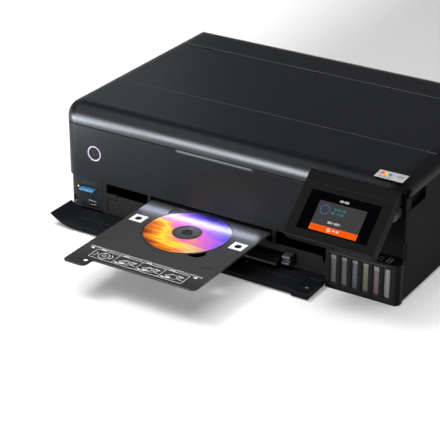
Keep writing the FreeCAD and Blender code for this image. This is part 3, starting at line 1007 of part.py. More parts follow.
def build_rear_feed():
    (ty, tz), (fy, fz) = CHUTE_TOP, CHUTE_FOOT
    run = math.hypot(ty - fy, tz - fz)
    uy, uz = (ty - fy) / run, (tz - fz) / run

    def strip(start, length, base, thick, x):
        """Strip along the chute: start and length up the slope, base and thickness off it."""
        corner = [(start, base), (start + length, base), (start + length, base + thick), (start, base + thick)]
        return prism("yz", [(fy + uy * a + uz * b, fz + uz * a - uy * b) for a, b in corner], *x)

    wide, narrow = (-CHUTE_HALF, CHUTE_HALF), (-SUPPORT_HALF, SUPPORT_HALF)
    ramp = prism("yz", [(fy, fz), (ty, tz), (ty + CHUTE_T, tz), (fy + CHUTE_T, fz)], *wide)
    cheek = [(CHUTE_Y0, fz), (fy + CHUTE_T + 8, fz), (ty + CHUTE_T + 3, tz), (CHUTE_Y0, tz)]
    cheeks = [prism("yz", cheek, x, x + 2) for x in (-CHUTE_HALF - 2, CHUTE_HALF)]
    foot = box((-CHUTE_HALF - 2, CHUTE_HALF + 2), (fy - 2, fy + 14), (FOOT_H + 3, fz))
    # the sliding paper support lies behind the ramp, joined to it at its foot
    support = strip(5.0, run - 10, CHUTE_T + 1.8, 2.0, narrow)
    link = strip(-2.0, 15.0, CHUTE_T - 1.0, 6.0, narrow)
    piece("feed_frame", fuse([ramp, foot, support, link] + cheeks))
    start = 40.0
    base_y, base_z = fy + uy * start - uz * RUN, fz + uz * start + uy * RUN
    for name, side in (("edge_guide_left", -1), ("edge_guide_right", 1)):
        x = side * GUIDE_X
        fence = prism("yz", [(base_y, base_z), (base_y + uy * GUIDE_L, base_z + uz * GUIDE_L),
                             (base_y + uy * GUIDE_L - uz * GUIDE_OUT, base_z + uz * GUIDE_L + uy * GUIDE_OUT, 4),
                             (base_y - uz * GUIDE_OUT, base_z + uy * GUIDE_OUT, 4)],
                      min(x, x + side * GUIDE_T), max(x, x + side * GUIDE_T))
        flat = strip(start, GUIDE_L, -RUN - 1.6, 1.6, (min(x, x + side * 22), max(x, x + side * 22)))
        piece(name, fuse([fence, flat]))


def main():
    build_base()
    build_sides()
    build_rear()
    build_top_beam()
    build_lid()
    build_scanner()
    build_front_panel()
    build_card_bezel()
    build_slot_frame()
    build_disc_tray()
    build_disc_guide()
    build_flap()
    build_cassette()
    build_output_tray()
    build_tanks()
    build_control_panel()
    build_bay()
    build_mechanism()
    build_rear_cover()
    build_rear_feed()
    os.makedirs("parts", exist_ok=True)
    for name, shape in PIECES.items():
        shape.translate(V(PLACE_X, PLACE_Y, 0))
        shape.exportStep("parts/%s.step" % name)
        print(name, len(shape.Solids), round(shape.Volume), shape.isValid())


main()
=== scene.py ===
import math

import bpy
import numpy as np
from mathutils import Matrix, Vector


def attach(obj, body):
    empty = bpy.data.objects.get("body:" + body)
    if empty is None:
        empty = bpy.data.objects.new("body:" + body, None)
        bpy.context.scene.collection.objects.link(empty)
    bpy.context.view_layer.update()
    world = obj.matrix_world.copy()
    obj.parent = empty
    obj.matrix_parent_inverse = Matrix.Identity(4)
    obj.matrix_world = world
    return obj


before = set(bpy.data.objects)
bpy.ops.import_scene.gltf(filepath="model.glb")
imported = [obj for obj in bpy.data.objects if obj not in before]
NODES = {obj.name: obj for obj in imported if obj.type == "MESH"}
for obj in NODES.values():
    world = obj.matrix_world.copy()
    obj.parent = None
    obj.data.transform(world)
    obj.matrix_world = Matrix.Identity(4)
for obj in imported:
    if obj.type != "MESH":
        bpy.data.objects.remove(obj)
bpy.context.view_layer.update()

# lengths are in millimetres up to the meshes, which are in metres
MM = 0.001
# the drawing's X = 0 and Y = 0 lie beside the body's middle and on the front panel
SHIFT = (4.5, -88.0)

# heights of the level faces that carry marks
TRAY_TOP, LID_TOP, DECK_TOP, FLAP_TOP = 52.0, 169.0, 58.4, 9.6
HUB_TOP, DISC_TOP = 52.25, 51.95
# y of the upright faces that carry marks
BEZEL_FACE, BUTTON_FACE, WINDOW_FACE, COLUMN_FACE = 7.5, 0.3, -2.5, -5.0

DISC_CENTRE, DISC_RADIUS = (-26.5, -54.5), 60.0
HUB_ZONE = 20.0               # radius of the disc's unprinted centre
DARK_FRONT = (-190.0, -150.0)    # y where the tray's front turns from dark to grey

PANEL_AXIS = (8.0, 158.1)     # y and z of the screen panel's hinge
PANEL_TILT = math.radians(-48.6)
GLASS_FACE = -1.9             # y of the glass while the panel stands upright

FIRST_WINDOW, WINDOW_PITCH = 168.2, 15.6
INK_LEVELS = (44.2, 45.2, 45.6, 46.0, 43.6, 44.6)
INKS = ("#767677", "#757576", "#66717e", "#95926f", "#95737f", "#a9a9aa")
MENISCUS = 0.7                # height of the pale line at the top of the ink

INK = 0.06                    # thickness of a printed mark
ROOT = -0.02                  # how far a mark reaches into its face

GRAIN_PITCH = 0.00035         # metres between the pits of a spark-eroded surface
EDGE_RADIUS = 0.0008          # metres, edge rounding of the mouldings
DRIFT = (14.0, 3.0)           # scale and detail of the slow cloud in a moulding's sheen


# ---------------------------------------------------------------- colours and shader maths
def tone(code):
    """Linear colour of a web colour code."""
    parts = [int(code[i:i + 2], 16) / 255 for i in (1, 3, 5)]
    return tuple(p / 12.92 if p <= 0.04045 else ((p + 0.055) / 1.055) ** 2.4 for p in parts)


def scaled(colour, by):
    return [min(1.0, c * by) for c in colour]


class Wire:
    """A value in a finish; arithmetic on it adds Math nodes to that finish."""

    def __init__(self, finish, socket):
        self.finish, self.socket = finish, socket

    def math(self, operation, *others):
        return self.finish.node("ShaderNodeMath", {"operation": operation}, [self, *others])

    def __add__(self, other):
        return self.math("ADD", other)

    def __sub__(self, other):
        return self.math("SUBTRACT", other)

    def __mul__(self, other):
        return self.math("MULTIPLY", other)

    def __truediv__(self, other):
        return self.math("DIVIDE", other)

    def __gt__(self, other):
        return self.math("GREATER_THAN", other)

    def __lt__(self, other):
        return self.math("LESS_THAN", other)


class Finish:
    """One material, built node by node round a Principled shader."""

    def __init__(self, name, **fixed):
        self.material = bpy.data.materials.new(name)
        self.material.use_nodes = True
        self.tree = self.material.node_tree
        self.shader = self.tree.nodes["Principled BSDF"]
        self.set(**fixed)

    def node(self, kind, settings=None, inputs=(), out=0):
        """Add a node: settings first, then the values or links of its sockets."""
        made = self.tree.nodes.new(kind)
        for key, value in (settings or {}).items():
            setattr(made, key, value)
        pairs = inputs.items() if isinstance(inputs, dict) else enumerate(inputs)
        for key, value in pairs:
            self.join(made.inputs[key], value)
        return Wire(self, made.outputs[out])

    def join(self, socket, value):
        """Link a wire to a socket, or set the socket's own value."""
        if isinstance(value, Wire):
            self.tree.links.new(value.socket, socket)
        elif hasattr(socket.default_value, "__len__") and len(socket.default_value) == 4:
            socket.default_value = (*value, 1.0)
        else:
            socket.default_value = value

    def set(self, **values):
        """Set or link the shader's inputs; an underscore stands for a space in their names."""
        for key, value in values.items():
            self.join(self.shader.inputs[key.replace("_", " ")], value)
        return self

    def place(self):
        return self.node("ShaderNodeTexCoord", out="Object")

    def axes(self):
        """The three coordinates of the point, in metres."""
        here = self.node("ShaderNodeSeparateXYZ", {}, [self.place()])
        return [Wire(self, out) for out in here.socket.node.outputs]

    def noise(self, scale, detail=2.0, stretch=(1, 1, 1)):
        spot = self.node("ShaderNodeMapping", {}, {"Vector": self.place(), "Scale": stretch})
        return self.node("ShaderNodeTexNoise", {},
                         {"Vector": spot, "Scale": scale, "Detail": detail})

    def ramp(self, fac, stops, mode="LINEAR"):
        """Colour ramp through stops of (place, colour)."""
        made = self.node("ShaderNodeValToRGB", {}, [fac])
        ramp = made.socket.node.color_ramp
        ramp.interpolation = mode
        while len(ramp.elements) < len(stops):
            ramp.elements.new(0.5)
        for element, (spot, colour) in zip(ramp.elements, stops):
            element.position, element.color = spot, (*colour, 1.0)
        return made

    def mix(self, fac, low, high):
        """Colour mix: low where fac is 0, high where it is 1."""
        return self.node("ShaderNodeMix", {"data_type": "RGBA"}, {0: fac, 6: low, 7: high}, out=2)

    def bump(self, height, strength, depth, edge=None):
        """Normals of a relief up to depth metres, laid over those of edge where it is given."""
        inputs = {"Height": height, "Strength": strength, "Distance": depth}
        if edge is not None:
            inputs["Normal"] = edge
        return self.node("ShaderNodeBump", {}, inputs)

    def soft_edge(self, radius):
        """Normals rounded over sharp edges, as on a moulding with a small edge radius."""
        return self.node("ShaderNodeBevel", {"samples": 6}, {"Radius": radius})

    def edge_line(self, rounded):
        """0 on flat faces, up to 1 where the rounded normal leans away from the face."""
        face = self.node("ShaderNodeNewGeometry", out="Normal")
        lean = self.node("ShaderNodeVectorMath", {"operation": "DOT_PRODUCT"}, [rounded, face],
                         out="Value")
        return lean * -3.0 + 3.0


# ---------------------------------------------------------------- finishes
def moulded(name, colour, rough, gloss, grain=0.35, cloud=0.12, edge_highlight=0.5):
    """Injection-moulded plastic: spark-eroded grain, cloudy sheen, and a painted highlight that
    lightens the colour along the rounded edges.
    """
    f = Finish(name, Specular_IOR_Level=gloss)
    fine = f.noise(1 / GRAIN_PITCH)
    drift = f.noise(*DRIFT)
    rounded = f.soft_edge(EDGE_RADIUS)
    body = f.ramp(drift * 0.7 + fine * 0.3,
                  [(0.3, scaled(colour, 1 - cloud)), (0.7, scaled(colour, 1 + cloud))])
    # painted highlight: the colour is lightened along the rounded edges, where they would catch the
    # light
    painted_edge_highlight = [c * 1.5 + 0.05 for c in colour]
    f.set(Base_Color=f.mix(f.edge_line(rounded) * edge_highlight, body, painted_edge_highlight),
          Roughness=drift * 0.1 + fine * 0.08 + (rough - 0.09),
          Normal=f.bump(fine, grain, GRAIN_PITCH * 0.35, rounded))
    return f.material


def grained_tray(name, colour):
    """Satin tray plastic, darker beyond a soft line near its front edge."""
    f = Finish(name, Specular_IOR_Level=0.35)
    y = f.axes()[1]
    fine, drift = f.noise(4000.0), f.noise(*DRIFT)
    start, length = (DARK_FRONT[0] + SHIFT[1]) * MM, (DARK_FRONT[1] - DARK_FRONT[0]) * MM
    reach = f.ramp((y - start) / length + (drift - 0.5) * 0.3, [(0.0, (0, 0, 0)), (1.0, (1, 1, 1))])
    body = f.ramp(drift * 0.7 + fine * 0.3,
                  [(0.3, scaled(colour, 0.92)), (0.7, scaled(colour, 1.08))])
    f.set(Base_Color=f.mix(reach, scaled(colour, 0.3), body),
          Roughness=drift * 0.1 + fine * 0.08 + 0.28,
          Normal=f.bump(fine, 0.25, 0.0001, f.soft_edge(0.0005)))
    return f.material


def rubbery(name, colour):
    """Matt rubber with a coarse open grain."""
    f = Finish(name, Specular_IOR_Level=0.35)
    fine = f.noise(1500.0, 4.0)
    f.set(Base_Color=f.ramp(fine, [(0.3, scaled(colour, 0.8)), (0.75, scaled(colour, 1.3))]),
          Roughness=fine * 0.2 + 0.65, Normal=f.bump(fine, 0.5, 0.0002))
    return f.material


def brushed(name, colour, along):
    """Rolled steel: scratches stretched along one axis."""
    f = Finish(name)
    stretch = [900.0, 900.0, 900.0]
    stretch[along] = 12.0
    lines = f.noise(1.0, 4.0, stretch)
    f.set(Base_Color=f.ramp(lines, [(0.3, scaled(colour, 0.85)), (0.7, colour)]),
          Metallic=1.0, Roughness=lines * 0.2 + 0.25,
          Normal=f.bump(lines, 0.12, 0.0002, f.soft_edge(0.0003)))
    return f.material


def lit(name, colour):
    """A patch of the screen: its own light, with the faint unevenness of the panel behind it."""
    f = Finish(name, Specular_IOR_Level=0.02, Roughness=0.3, Emission_Strength=1.0)
    glow = f.noise(220.0)
    f.set(Base_Color=f.ramp(glow, [(0.2, (0.002,) * 3), (0.8, (0.004,) * 3)]),
          Emission_Color=f.ramp(glow, [(0.2, scaled(colour, 0.95)), (0.8, colour)]))
    return f.material


def glowing(name, colour, strength):
    """A lit light guide with a faintly uneven core."""
    f = Finish(name, Roughness=0.35, Emission_Strength=strength)
    tint = f.ramp(f.noise(300.0, 1.0), [(0.2, scaled(colour, 0.92)), (0.8, colour)])
    f.set(Base_Color=tint, Emission_Color=tint)
    return f.material


def printed(name, colour, rough=0.5):
    """Screen-printed ink: nearly even, with the slight mottle of a thin coat."""
    f = Finish(name, Specular_IOR_Level=0.4)
    mottle = f.noise(900.0, 3.0)
    f.set(Base_Color=f.ramp(mottle, [(0.25, scaled(colour, 0.93)), (0.75, colour)]),
          Roughness=mottle * 0.12 + (rough - 0.06))
    return f.material


def display_glass(name):
    """Black glass over the display, with a faint haze of handling."""
    f = Finish(name, Specular_IOR_Level=0.005)
    haze = f.noise(30.0, 3.0)
    f.set(Base_Color=f.ramp(haze, [(0.3, tone("#010102")), (0.8, tone("#050507"))]),
          Roughness=haze * 0.06 + 0.08)
    return f.material


def clear_glass(name):
    """The scanner's glass: clear, faintly green."""
    f = Finish(name, IOR=1.5, Transmission_Weight=0.9)
    haze = f.noise(25.0, 3.0)
    f.set(Base_Color=f.ramp(haze, [(0.2, tone("#dfeee8")), (0.8, tone("#f4faf8"))]),
          Roughness=haze * 0.05 + 0.01)
    return f.material


def foam(name, colour):
    """Closed-cell foam of the document pad."""
    f = Finish(name, Specular_IOR_Level=0.2)
    pores = f.node("ShaderNodeTexVoronoi", {}, {"Vector": f.place(), "Scale": 900.0})
    f.set(Base_Color=f.ramp(pores, [(0.0, scaled(colour, 0.82)), (0.4, colour)]),
          Roughness=pores * 0.2 + 0.7, Normal=f.bump(pores, 0.5, 0.0004))
    return f.material


def ink_tank(name, ink, level):
    """Milky tank wall: tinted up to the ink level, pale above it, with a thin meniscus line."""
    f = Finish(name, Specular_IOR_Level=0.5, Roughness=0.3)
    z = f.axes()[2]
    drift = f.noise(60.0, 3.0)
    height = z + (drift - 0.5) * 0.0006
    wet = height < level * MM
    line = (height > (level - MENISCUS) * MM) * wet
    depth = f.ramp(drift, [(0.2, scaled(ink, 0.85)), (0.8, scaled(ink, 1.12))])
    dry = f.ramp(drift, [(0.2, tone("#a2a2a3")), (0.8, tone("#bdbdbe"))])
    liquid = f.mix(line * 0.35, depth, tone("#c8c8c8"))
    f.set(Base_Color=f.mix(wet, dry, liquid), Normal=f.bump(f.noise(2200.0), 0.2, 0.0001))
    return f.material


def disc_print(name):
    """Printed disc: soft bands of colour swept across the face, a grey unprinted centre."""
    f = Finish(name, Specular_IOR_Level=0.5, Coat_Weight=0.5, Coat_Roughness=0.34)
    x, y = f.axes()[:2]
    # u and v run from -1 to 1 across the disc
    u = (x - (DISC_CENTRE[0] + SHIFT[0]) * MM) / (DISC_RADIUS * MM)
    v = (y - (DISC_CENTRE[1] + SHIFT[1]) * MM) / (DISC_RADIUS * MM)
    radius = (u * u + v * v).math("SQRT")
    cloud = f.noise(38.0, 4.0, (1.0, 2.2, 1.0))
    streak = f.noise(26.0, 5.0, (0.8, 6.0, 1.0))
    wave = (u * 4.2 + cloud * 5.0).math("SINE")
    sweep = u * 0.27 + v * 0.41 + wave * 0.07 + (streak - 0.5) * 0.5 + 0.49
    bands = f.ramp(sweep, [
        (0.02, tone("#7a3408")), (0.1, tone("#d86a08")), (0.2, tone("#ff9a00")),
        (0.28, tone("#ffe63a")), (0.37, tone("#ffa84a")), (0.46, tone("#f870b8")),
        (0.57, tone("#e86ae0")), (0.68, tone("#a066ec")), (0.8, tone("#5a4cd4")),
        (0.95, tone("#2c1a72"))])
    cool = f.mix((u - 0.1) * 0.55, bands, tone("#7a58e8"))
    face = f.mix(radius > HUB_ZONE / DISC_RADIUS, tone("#454546"), cool)
    rim = f.mix(radius > 0.985, face, tone("#1b1b1e"))
    f.set(Base_Color=rim, Roughness=cloud * 0.08 + 0.24,
          Normal=f.bump(f.noise(3000.0), 0.1, 0.00005))
    return f.material


LID = moulded("lid_black", tone("#0b0c0f"), rough=0.35, gloss=0.27, grain=0.2, edge_highlight=0.2)
FRONT = moulded("front_black", tone("#0b0c0e"), rough=0.34, gloss=0.12, grain=0.18)
LIFT = moulded("lift_bar_grey", tone("#404347"), rough=0.45, gloss=0.5)
BLACK = moulded("case_black", tone("#0f1012"), rough=0.55, gloss=0.04)
TANK = moulded("housing_black", tone("#121212"), rough=0.5, gloss=0.08)
CARD_FACE = moulded("bezel_black", tone("#222427"), rough=0.45, gloss=0.08)
PANEL = moulded("panel_black", tone("#131313"), rough=0.46, gloss=0.04, grain=0.3)
LOWER = moulded("lower_black", tone("#08090b"), rough=0.5, gloss=0.06)
FLAP = moulded("flap_black", tone("#191a1e"), rough=0.38, gloss=0.03, grain=0.2)
INNER = moulded("inner_black", tone("#060607"), rough=0.6, gloss=0.04, grain=0.4)
FACE = moulded("face_black", tone("#2b2928"), rough=0.5, gloss=0.06)
PALE = moulded("lever_grey", tone("#34363a"), rough=0.4, gloss=0.4)
ARM = moulded("arm_grey", tone("#77797d"), rough=0.35, gloss=0.5)
GUIDE = moulded("guide_grey", tone("#8b8c8e"), rough=0.5, gloss=0.4)
CARD = moulded("card_blue", tone("#4c9ad0"), rough=0.38, gloss=0.4, grain=0.15, cloud=0.05)
RUBBER = rubbery("foot_rubber", tone("#1c1c1c"))
STEEL = brushed("plate_steel", tone("#b4b6b8"), along=1)
RAIL_STEEL = brushed("rail_steel", tone("#c2c4c6"), along=0)
PORT = brushed("port_metal", tone("#77746f"), along=0)
WHITE_INK = printed("white_print", tone("#f2f2f2"), 0.45)
DARK_INK = printed("dark_print", tone("#050505"), 0.7)
SILVER = printed("silver_label", tone("#b0b0b0"), 0.4)


def dress(node, finish):
    """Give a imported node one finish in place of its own."""
    slots = NODES[node].data.materials
    slots.clear()
    slots.append(finish)


for finish, members in {
    LID: ("lid", "rear_feed_cover"),
    BLACK: ("side_cover_right", "side_cover_left", "rear_cover"),
    TANK: ("tank_housing", "tank_deck"),
    CARD_FACE: ("card_bezel",),
    FRONT: ("front_panel", "power_button"),
    LIFT: ("lift_bar",),
    PANEL: ("panel_shell", "panel_back"),
    FACE: ("cassette_face", "slot_frame"),
    LOWER: ("output_tray", "disc_guide"),
    FLAP: ("front_flap",),
    grained_tray("tray_grey", tone("#383838")): ("disc_tray", "disc_hub"),
    INNER: ("base_pan", "top_beam", "scanner_frame", "scan_bar", "cassette", "panel_bay",
            "platen", "inner_deck", "feed_frame", "carriage", "tank_caps", "power_inlet",
            "drive_pulley", "star_wheel_bar"),
    PALE: ("tray_hook",),
    ARM: ("panel_arm",),
    GUIDE: ("edge_guide_left", "edge_guide_right"),
    CARD: ("memory_card",),
    RUBBER: ("rubber_feet", "eject_roller", "feed_roller", "drive_belt"),
    STEEL: ("mech_frame", "carriage_motor"),
    RAIL_STEEL: ("carriage_rail",),
    PORT: ("usb_port",),
    display_glass("screen_glass"): ("panel_glass",),
    clear_glass("bed_glass"): ("scanner_glass",),
    foam("pad_foam", tone("#e6e6e4")): ("lid_pad",),
    glowing("ring_light", tone("#d9cdf2"), 0.55): ("power_ring",),
    glowing("card_light", tone("#d8f08a"), 1.1): ("card_led",),
    disc_print("disc_artwork"): ("disc",),
}.items():
    for member in members:
        dress(member, finish)

for i, (code, level) in enumerate(zip(INKS, INK_LEVELS), 1):
    dress("ink_tank_%d" % i, ink_tank("ink_%d" % i, tone(code), level))


# ---------------------------------------------------------------- where marks lie
def on_top(height):
    """A level face: drawing x, y and height over the face."""
    return lambda p: np.stack([p[..., 0] + SHIFT[0], p[..., 1] + SHIFT[1], height + p[..., 2]], -1)


def on_front(face):
    """An upright face looking forward at y = face: drawing x, z and height out of the face."""
    return lambda p: np.stack([p[..., 0] + SHIFT[0], face - p[..., 2] + SHIFT[1], p[..., 1]], -1)


def on_screen(p):
    """The tilted screen: x and height up the upright panel, turned about the panel's hinge."""
    y, z = GLASS_FACE - p[..., 2] - PANEL_AXIS[0], p[..., 1] - PANEL_AXIS[1]
    c, s = math.cos(PANEL_TILT), math.sin(PANEL_TILT)
    return np.stack([p[..., 0] + SHIFT[0], PANEL_AXIS[0] + y * c - z * s + SHIFT[1],
                     PANEL_AXIS[1] + y * s + z * c], -1)


on_tray, on_lid = on_top(TRAY_TOP), on_top(LID_TOP)


# ---------------------------------------------------------------- outlines, as flat quads
def block(u0, u1, v0, v1):
    """One upright rectangle."""
    return np.array([[[u0, v0], [u1, v0], [u1, v1], [u0, v1]]], float)


def stroke(points, width):
    """Quads along a line of points; each run reaches half a width past its ends."""
    p = np.asarray(points, float)
    a, b = p[:-1], p[1:]
    d = (b - a) / np.linalg.norm(b - a, axis=1, keepdims=True) * width / 2
    n = np.stack([-d[:, 1], d[:, 0]], 1)
    return np.stack([a - d - n, b + d - n, b + d + n, a - d + n], 1)


def between(low, high):
    """Quads between two rows of points."""
    return np.stack([low[:-1], high[:-1], high[1:], low[1:]], 1)


def ring(centre, radius, width, start=0.0, turn=360.0, count=40):
    """Quads round a circle, between radius - width / 2 and radius + width / 2."""
    a = np.radians(start + np.linspace(0, turn, count + 1))
    way = np.stack([np.cos(a), np.sin(a)], 1)
    centre = np.array(centre)
    return between(centre + way * (radius - width / 2), centre + way * (radius + width / 2))


def holed_square(centre, half, radius, count=32):
    """Square with a round hole: rays from the circle out to the square's edge."""
    a = np.radians(np.linspace(0, 360, count + 1) + 45)
    way = np.stack([np.cos(a), np.sin(a)], 1)
    edge = way / np.abs(way).max(1, keepdims=True) * half
    centre = np.array(centre)
    return between(centre + way * radius, centre + edge)


# the bars of each seven-bar figure that is used, and the ends of each bar
BARS = {"0": "abcdef", "1": "bc", "2": "abged", "3": "abgcd", "4": "fgbc", "5": "afgcd",
        "6": "afgcde", "8": "abcdefg", "-": "g"}
ENDS = {"a": ((0, 2), (1, 2)), "b": ((1, 2), (1, 1)), "c": ((1, 1), (1, 0)),
        "d": ((0, 0), (1, 0)), "e": ((0, 0), (0, 1)), "f": ((0, 1), (0, 2)),
        "g": ((0, 1), (1, 1))}
FIGURE_PITCH = 0.82           # from one figure to the next, as a share of the height


def numbers(text, u, v, size, width):
    """Figures of seven bars, each size high, set from the left at u with their foot at v."""
    quads = []
    for k, figure in enumerate(text):
        corner = (u + k * size * FIGURE_PITCH, v)
        for bar in BARS[figure]:
            quads.append(stroke(np.array(ENDS[bar], float) * size / 2 + corner, width))
    return np.concatenate(quads)


# ---------------------------------------------------------------- pieces
def add_piece(name, verts, faces, finish, body):
    """A mesh object from millimetre points, riding on a body."""
    mesh = bpy.data.meshes.new(name)
    mesh.from_pydata((verts * MM).tolist(), [], faces)
    mesh.materials.append(finish)
    mesh.validate()
    made = bpy.data.objects.new(name, mesh)
    bpy.context.scene.collection.objects.link(made)
    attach(made, body)


# faces of a thin block whose corners are its low quad, then its high quad
SLAB_FACES = np.array([[3, 2, 1, 0], [4, 5, 6, 7], [0, 1, 5, 4], [1, 2, 6, 5], [2, 3, 7, 6],
                       [3, 0, 4, 7]])


def marks(name, quads, where, finish, body, slot, low=ROOT, high=INK):
    """Flat quads (n, 4, 2) given a thickness: each becomes a closed thin block set by where()."""
    flat = np.concatenate(quads)
    turn = np.cross(flat[:, 1] - flat[:, 0], flat[:, 2] - flat[:, 1]) < 0
    flat[turn] = flat[turn][:, ::-1]
    layers = [np.concatenate([flat, np.full(flat.shape[:2] + (1,), h)], -1) for h in (low, high)]
    verts = where(np.concatenate(layers, 1)).reshape(-1, 3)
    faces = (np.arange(len(flat))[:, None, None] * 8 + SLAB_FACES).reshape(-1, 4)
    add_piece(name, verts, faces.tolist(), finish, body)


def turned(name, profile, centre, finish, body, count=32):
    """Profile (radius, height) turned about an upright axis and closed by a pole at each end."""
    p = np.asarray(profile, float)
    a = np.linspace(0, 2 * np.pi, count, endpoint=False)
    rings = np.stack([centre[0] + np.outer(p[1:-1, 0], np.cos(a)),
                      centre[1] + np.outer(p[1:-1, 0], np.sin(a)),
                      np.repeat(p[1:-1, 1:2], count, 1)], -1).reshape(-1, 3)
    poles = np.array([[*centre, p[0, 1]], [*centre, p[-1, 1]]])
    k = np.arange(count)
    nxt = (k + 1) % count
    rows = np.arange(len(p) - 3)[:, None] * count
    walls = np.stack([rows + k, rows + nxt, rows + nxt + count, rows + k + count], -1)
    last = (len(p) - 3) * count
    base, top = len(rings), len(rings) + 1
    faces = walls.reshape(-1, 4).tolist()
    faces += np.stack([nxt, k, np.full(count, base)], 1).tolist()
    faces += np.stack([last + k, last + nxt, np.full(count, top)], 1).tolist()
    add_piece(name, on_top(0.0)(np.concatenate([rings, poles])), faces, finish, body)


# ---------------------------------------------------------------- disc tray
ON_TRAY = ("disc_tray", "tray_grey")

# white squares with round holes beside the disc, where the print head finds the tray
SQUARE_X, SQUARE_Y = (-105.7, 52.5), -53.3
marks("tray_squares", [holed_square((x, SQUARE_Y), 10.0, 5.0) for x in SQUARE_X], on_tray,
      WHITE_INK, *ON_TRAY)

# dark corner marks behind the drawings
CORNERS = ((-109.7, -124.0), (49.6, -124.3))
corners = [stroke([(x - 6.5, y - 7.5), (x, y), (x + 8.5, y - 1.0)], 1.2) for x, y in CORNERS]
marks("tray_corner_marks", corners, on_tray, DARK_INK, *ON_TRAY)

# fine white guide lines, an arrowhead at each end of them, and a dot by the front edge
LINE_X, LINE_Y, LINE_HALF = (-113.0, 60.0), (-150.4, -152.6), 0.25
ARROW_X, ARROW_Y = (-107.4, 52.0), (-157.0, -153.2)
lines = [block(*LINE_X, y - LINE_HALF, y + LINE_HALF) for y in LINE_Y]
for x in ARROW_X:
    lines.append(np.array([[[x - 3.4, ARROW_Y[0]], [x + 3.4, ARROW_Y[0]],
                            [x + 0.3, ARROW_Y[1]], [x - 0.3, ARROW_Y[1]]]]))
lines.append(ring((-94.5, -190.2), 1.4, 2.6, count=20))
marks("tray_lines", lines, on_tray, WHITE_INK, *ON_TRAY)

# strip of four numbered drawings showing how the disc is laid in
STRIP_X, STRIP_Y, CELLS = (-99.0, 44.0), (-178.0, -156.0), 4
x0, x1 = STRIP_X
y0, y1 = STRIP_Y
cell = (x1 - x0) / CELLS
strip = [stroke([(x0, y0), (x1, y0), (x1, y1), (x0, y1), (x0, y0)], 0.7)]
for i in range(CELLS):
    x = x0 + i * cell
    if i:
        strip.append(stroke([(x, y0), (x, y1)], 0.6))
    strip.append(block(x + 5.0, x + 12.0, y1 - 0.4, y1 + 2.6))
    cx, cy = x + cell * 0.5, (y0 + y1) / 2 - 1.0
    if i == 0:
        # the disc, with arrows round it
        strip += [ring((cx, cy), 7.6, 0.8), ring((cx, cy), 2.6, 0.7, count=20),
                  stroke([(x + 4, cy - 5), (x + 7, cy + 1), (x + 4.5, cy + 5)], 0.8),
                  stroke([(cx + 9, cy + 6), (cx + 13, cy + 2), (cx + 10.5, cy - 4)], 0.9),
                  stroke([(cx - 5, cy + 5.4), (cx + 2, cy + 7.6), (cx + 7, cy + 3.2)], 0.9)]
    else:
        # open hand below a tray corner, with the disc or the tray sliding in
        strip += [stroke([(x + 4, cy - 6.2), (x + 9, cy - 6.6), (x + 14, cy - 5.2)], 2.6),
                  stroke([(x + 9, cy - 5), (x + 13, cy - 1.8)], 1.4),
                  stroke([(x + 6, cy - 1), (x + 14, cy + 5.5), (x + 30, cy + 2),
                          (x + 21, cy - 6), (x + 6, cy - 1)], 0.6),
                  stroke([(x + 8.4, cy - 1), (x + 14.6, cy + 4)], 0.5),
                  stroke([(x + 22, cy + 1.6), (x + 27, cy - 2.6), (x + 32.5, cy - 4)], 0.8),
                  stroke([(x + 24, cy + 5.4), (x + 31, cy + 4.2)], 1.2)]
        if i != CELLS - 1:
            strip.append(ring((x + 17.5, cy - 0.2), 3.4, 0.6, count=24))
marks("tray_drawings", strip, on_tray, WHITE_INK, *ON_TRAY)
tabs = [numbers(str(i + 1), x0 + i * cell + 7.8, y1 + 0.2, 1.7, 0.4) for i in range(CELLS)]
marks("tray_numbers", tabs, on_tray, DARK_INK, *ON_TRAY, INK - 0.02, INK + 0.04)

# ---------------------------------------------------------------- lid seam highlights, disc and hub
# painted highlight: thin pale strips in the groove across the lid and along its rear seam stand in
# for the light their edges catch: y, top and body
SEAM_HIGHLIGHT = printed("seam_highlight_grey", tone("#606265"), 0.4)
SEAM_HIGHLIGHT_HALF, SEAM_HIGHLIGHT_WIDE, SEAM_HIGHLIGHT_DEEP = 252.0, 0.8, 0.3
for i, (y, top, body) in enumerate(((114.5, -0.25, "lid"), (289.1, INK, "rear_feed_cover")), 1):
    marks("lid_seam_highlight_%d" % i, [block(-SEAM_HIGHLIGHT_HALF, SEAM_HIGHLIGHT_HALF, y - SEAM_HIGHLIGHT_WIDE / 2, y + SEAM_HIGHLIGHT_WIDE / 2)],
          on_lid, SEAM_HIGHLIGHT, body, "pale_grey", top - SEAM_HIGHLIGHT_DEEP, top)

# the dark edge of the disc's unprinted centre and the stacking ring inside it
disc_rings = [ring(DISC_CENTRE, HUB_ZONE, 0.7, count=64), ring(DISC_CENTRE, 17.2, 0.8, count=64)]
marks("disc_rings", disc_rings, on_top(DISC_TOP), DARK_INK, "disc", "disc_print", high=0.12)

# painted shade: dark ink where the gaps between the hub's claw fingers lie, standing in for the
# shade inside those gaps
claw_gap_shade = [ring(DISC_CENTRE, 5.6, 1.1, start, 96.0, 20) for start in (-60, 60, 180)]
claw_gap_shade.append(stroke([(DISC_CENTRE[0] - 4.0, DISC_CENTRE[1] - 4.5),
                     (DISC_CENTRE[0] - 3.0, DISC_CENTRE[1] - 6.8)], 1.2))
marks("hub_claw_shade", claw_gap_shade, on_top(HUB_TOP), DARK_INK, *ON_TRAY, high=0.5)

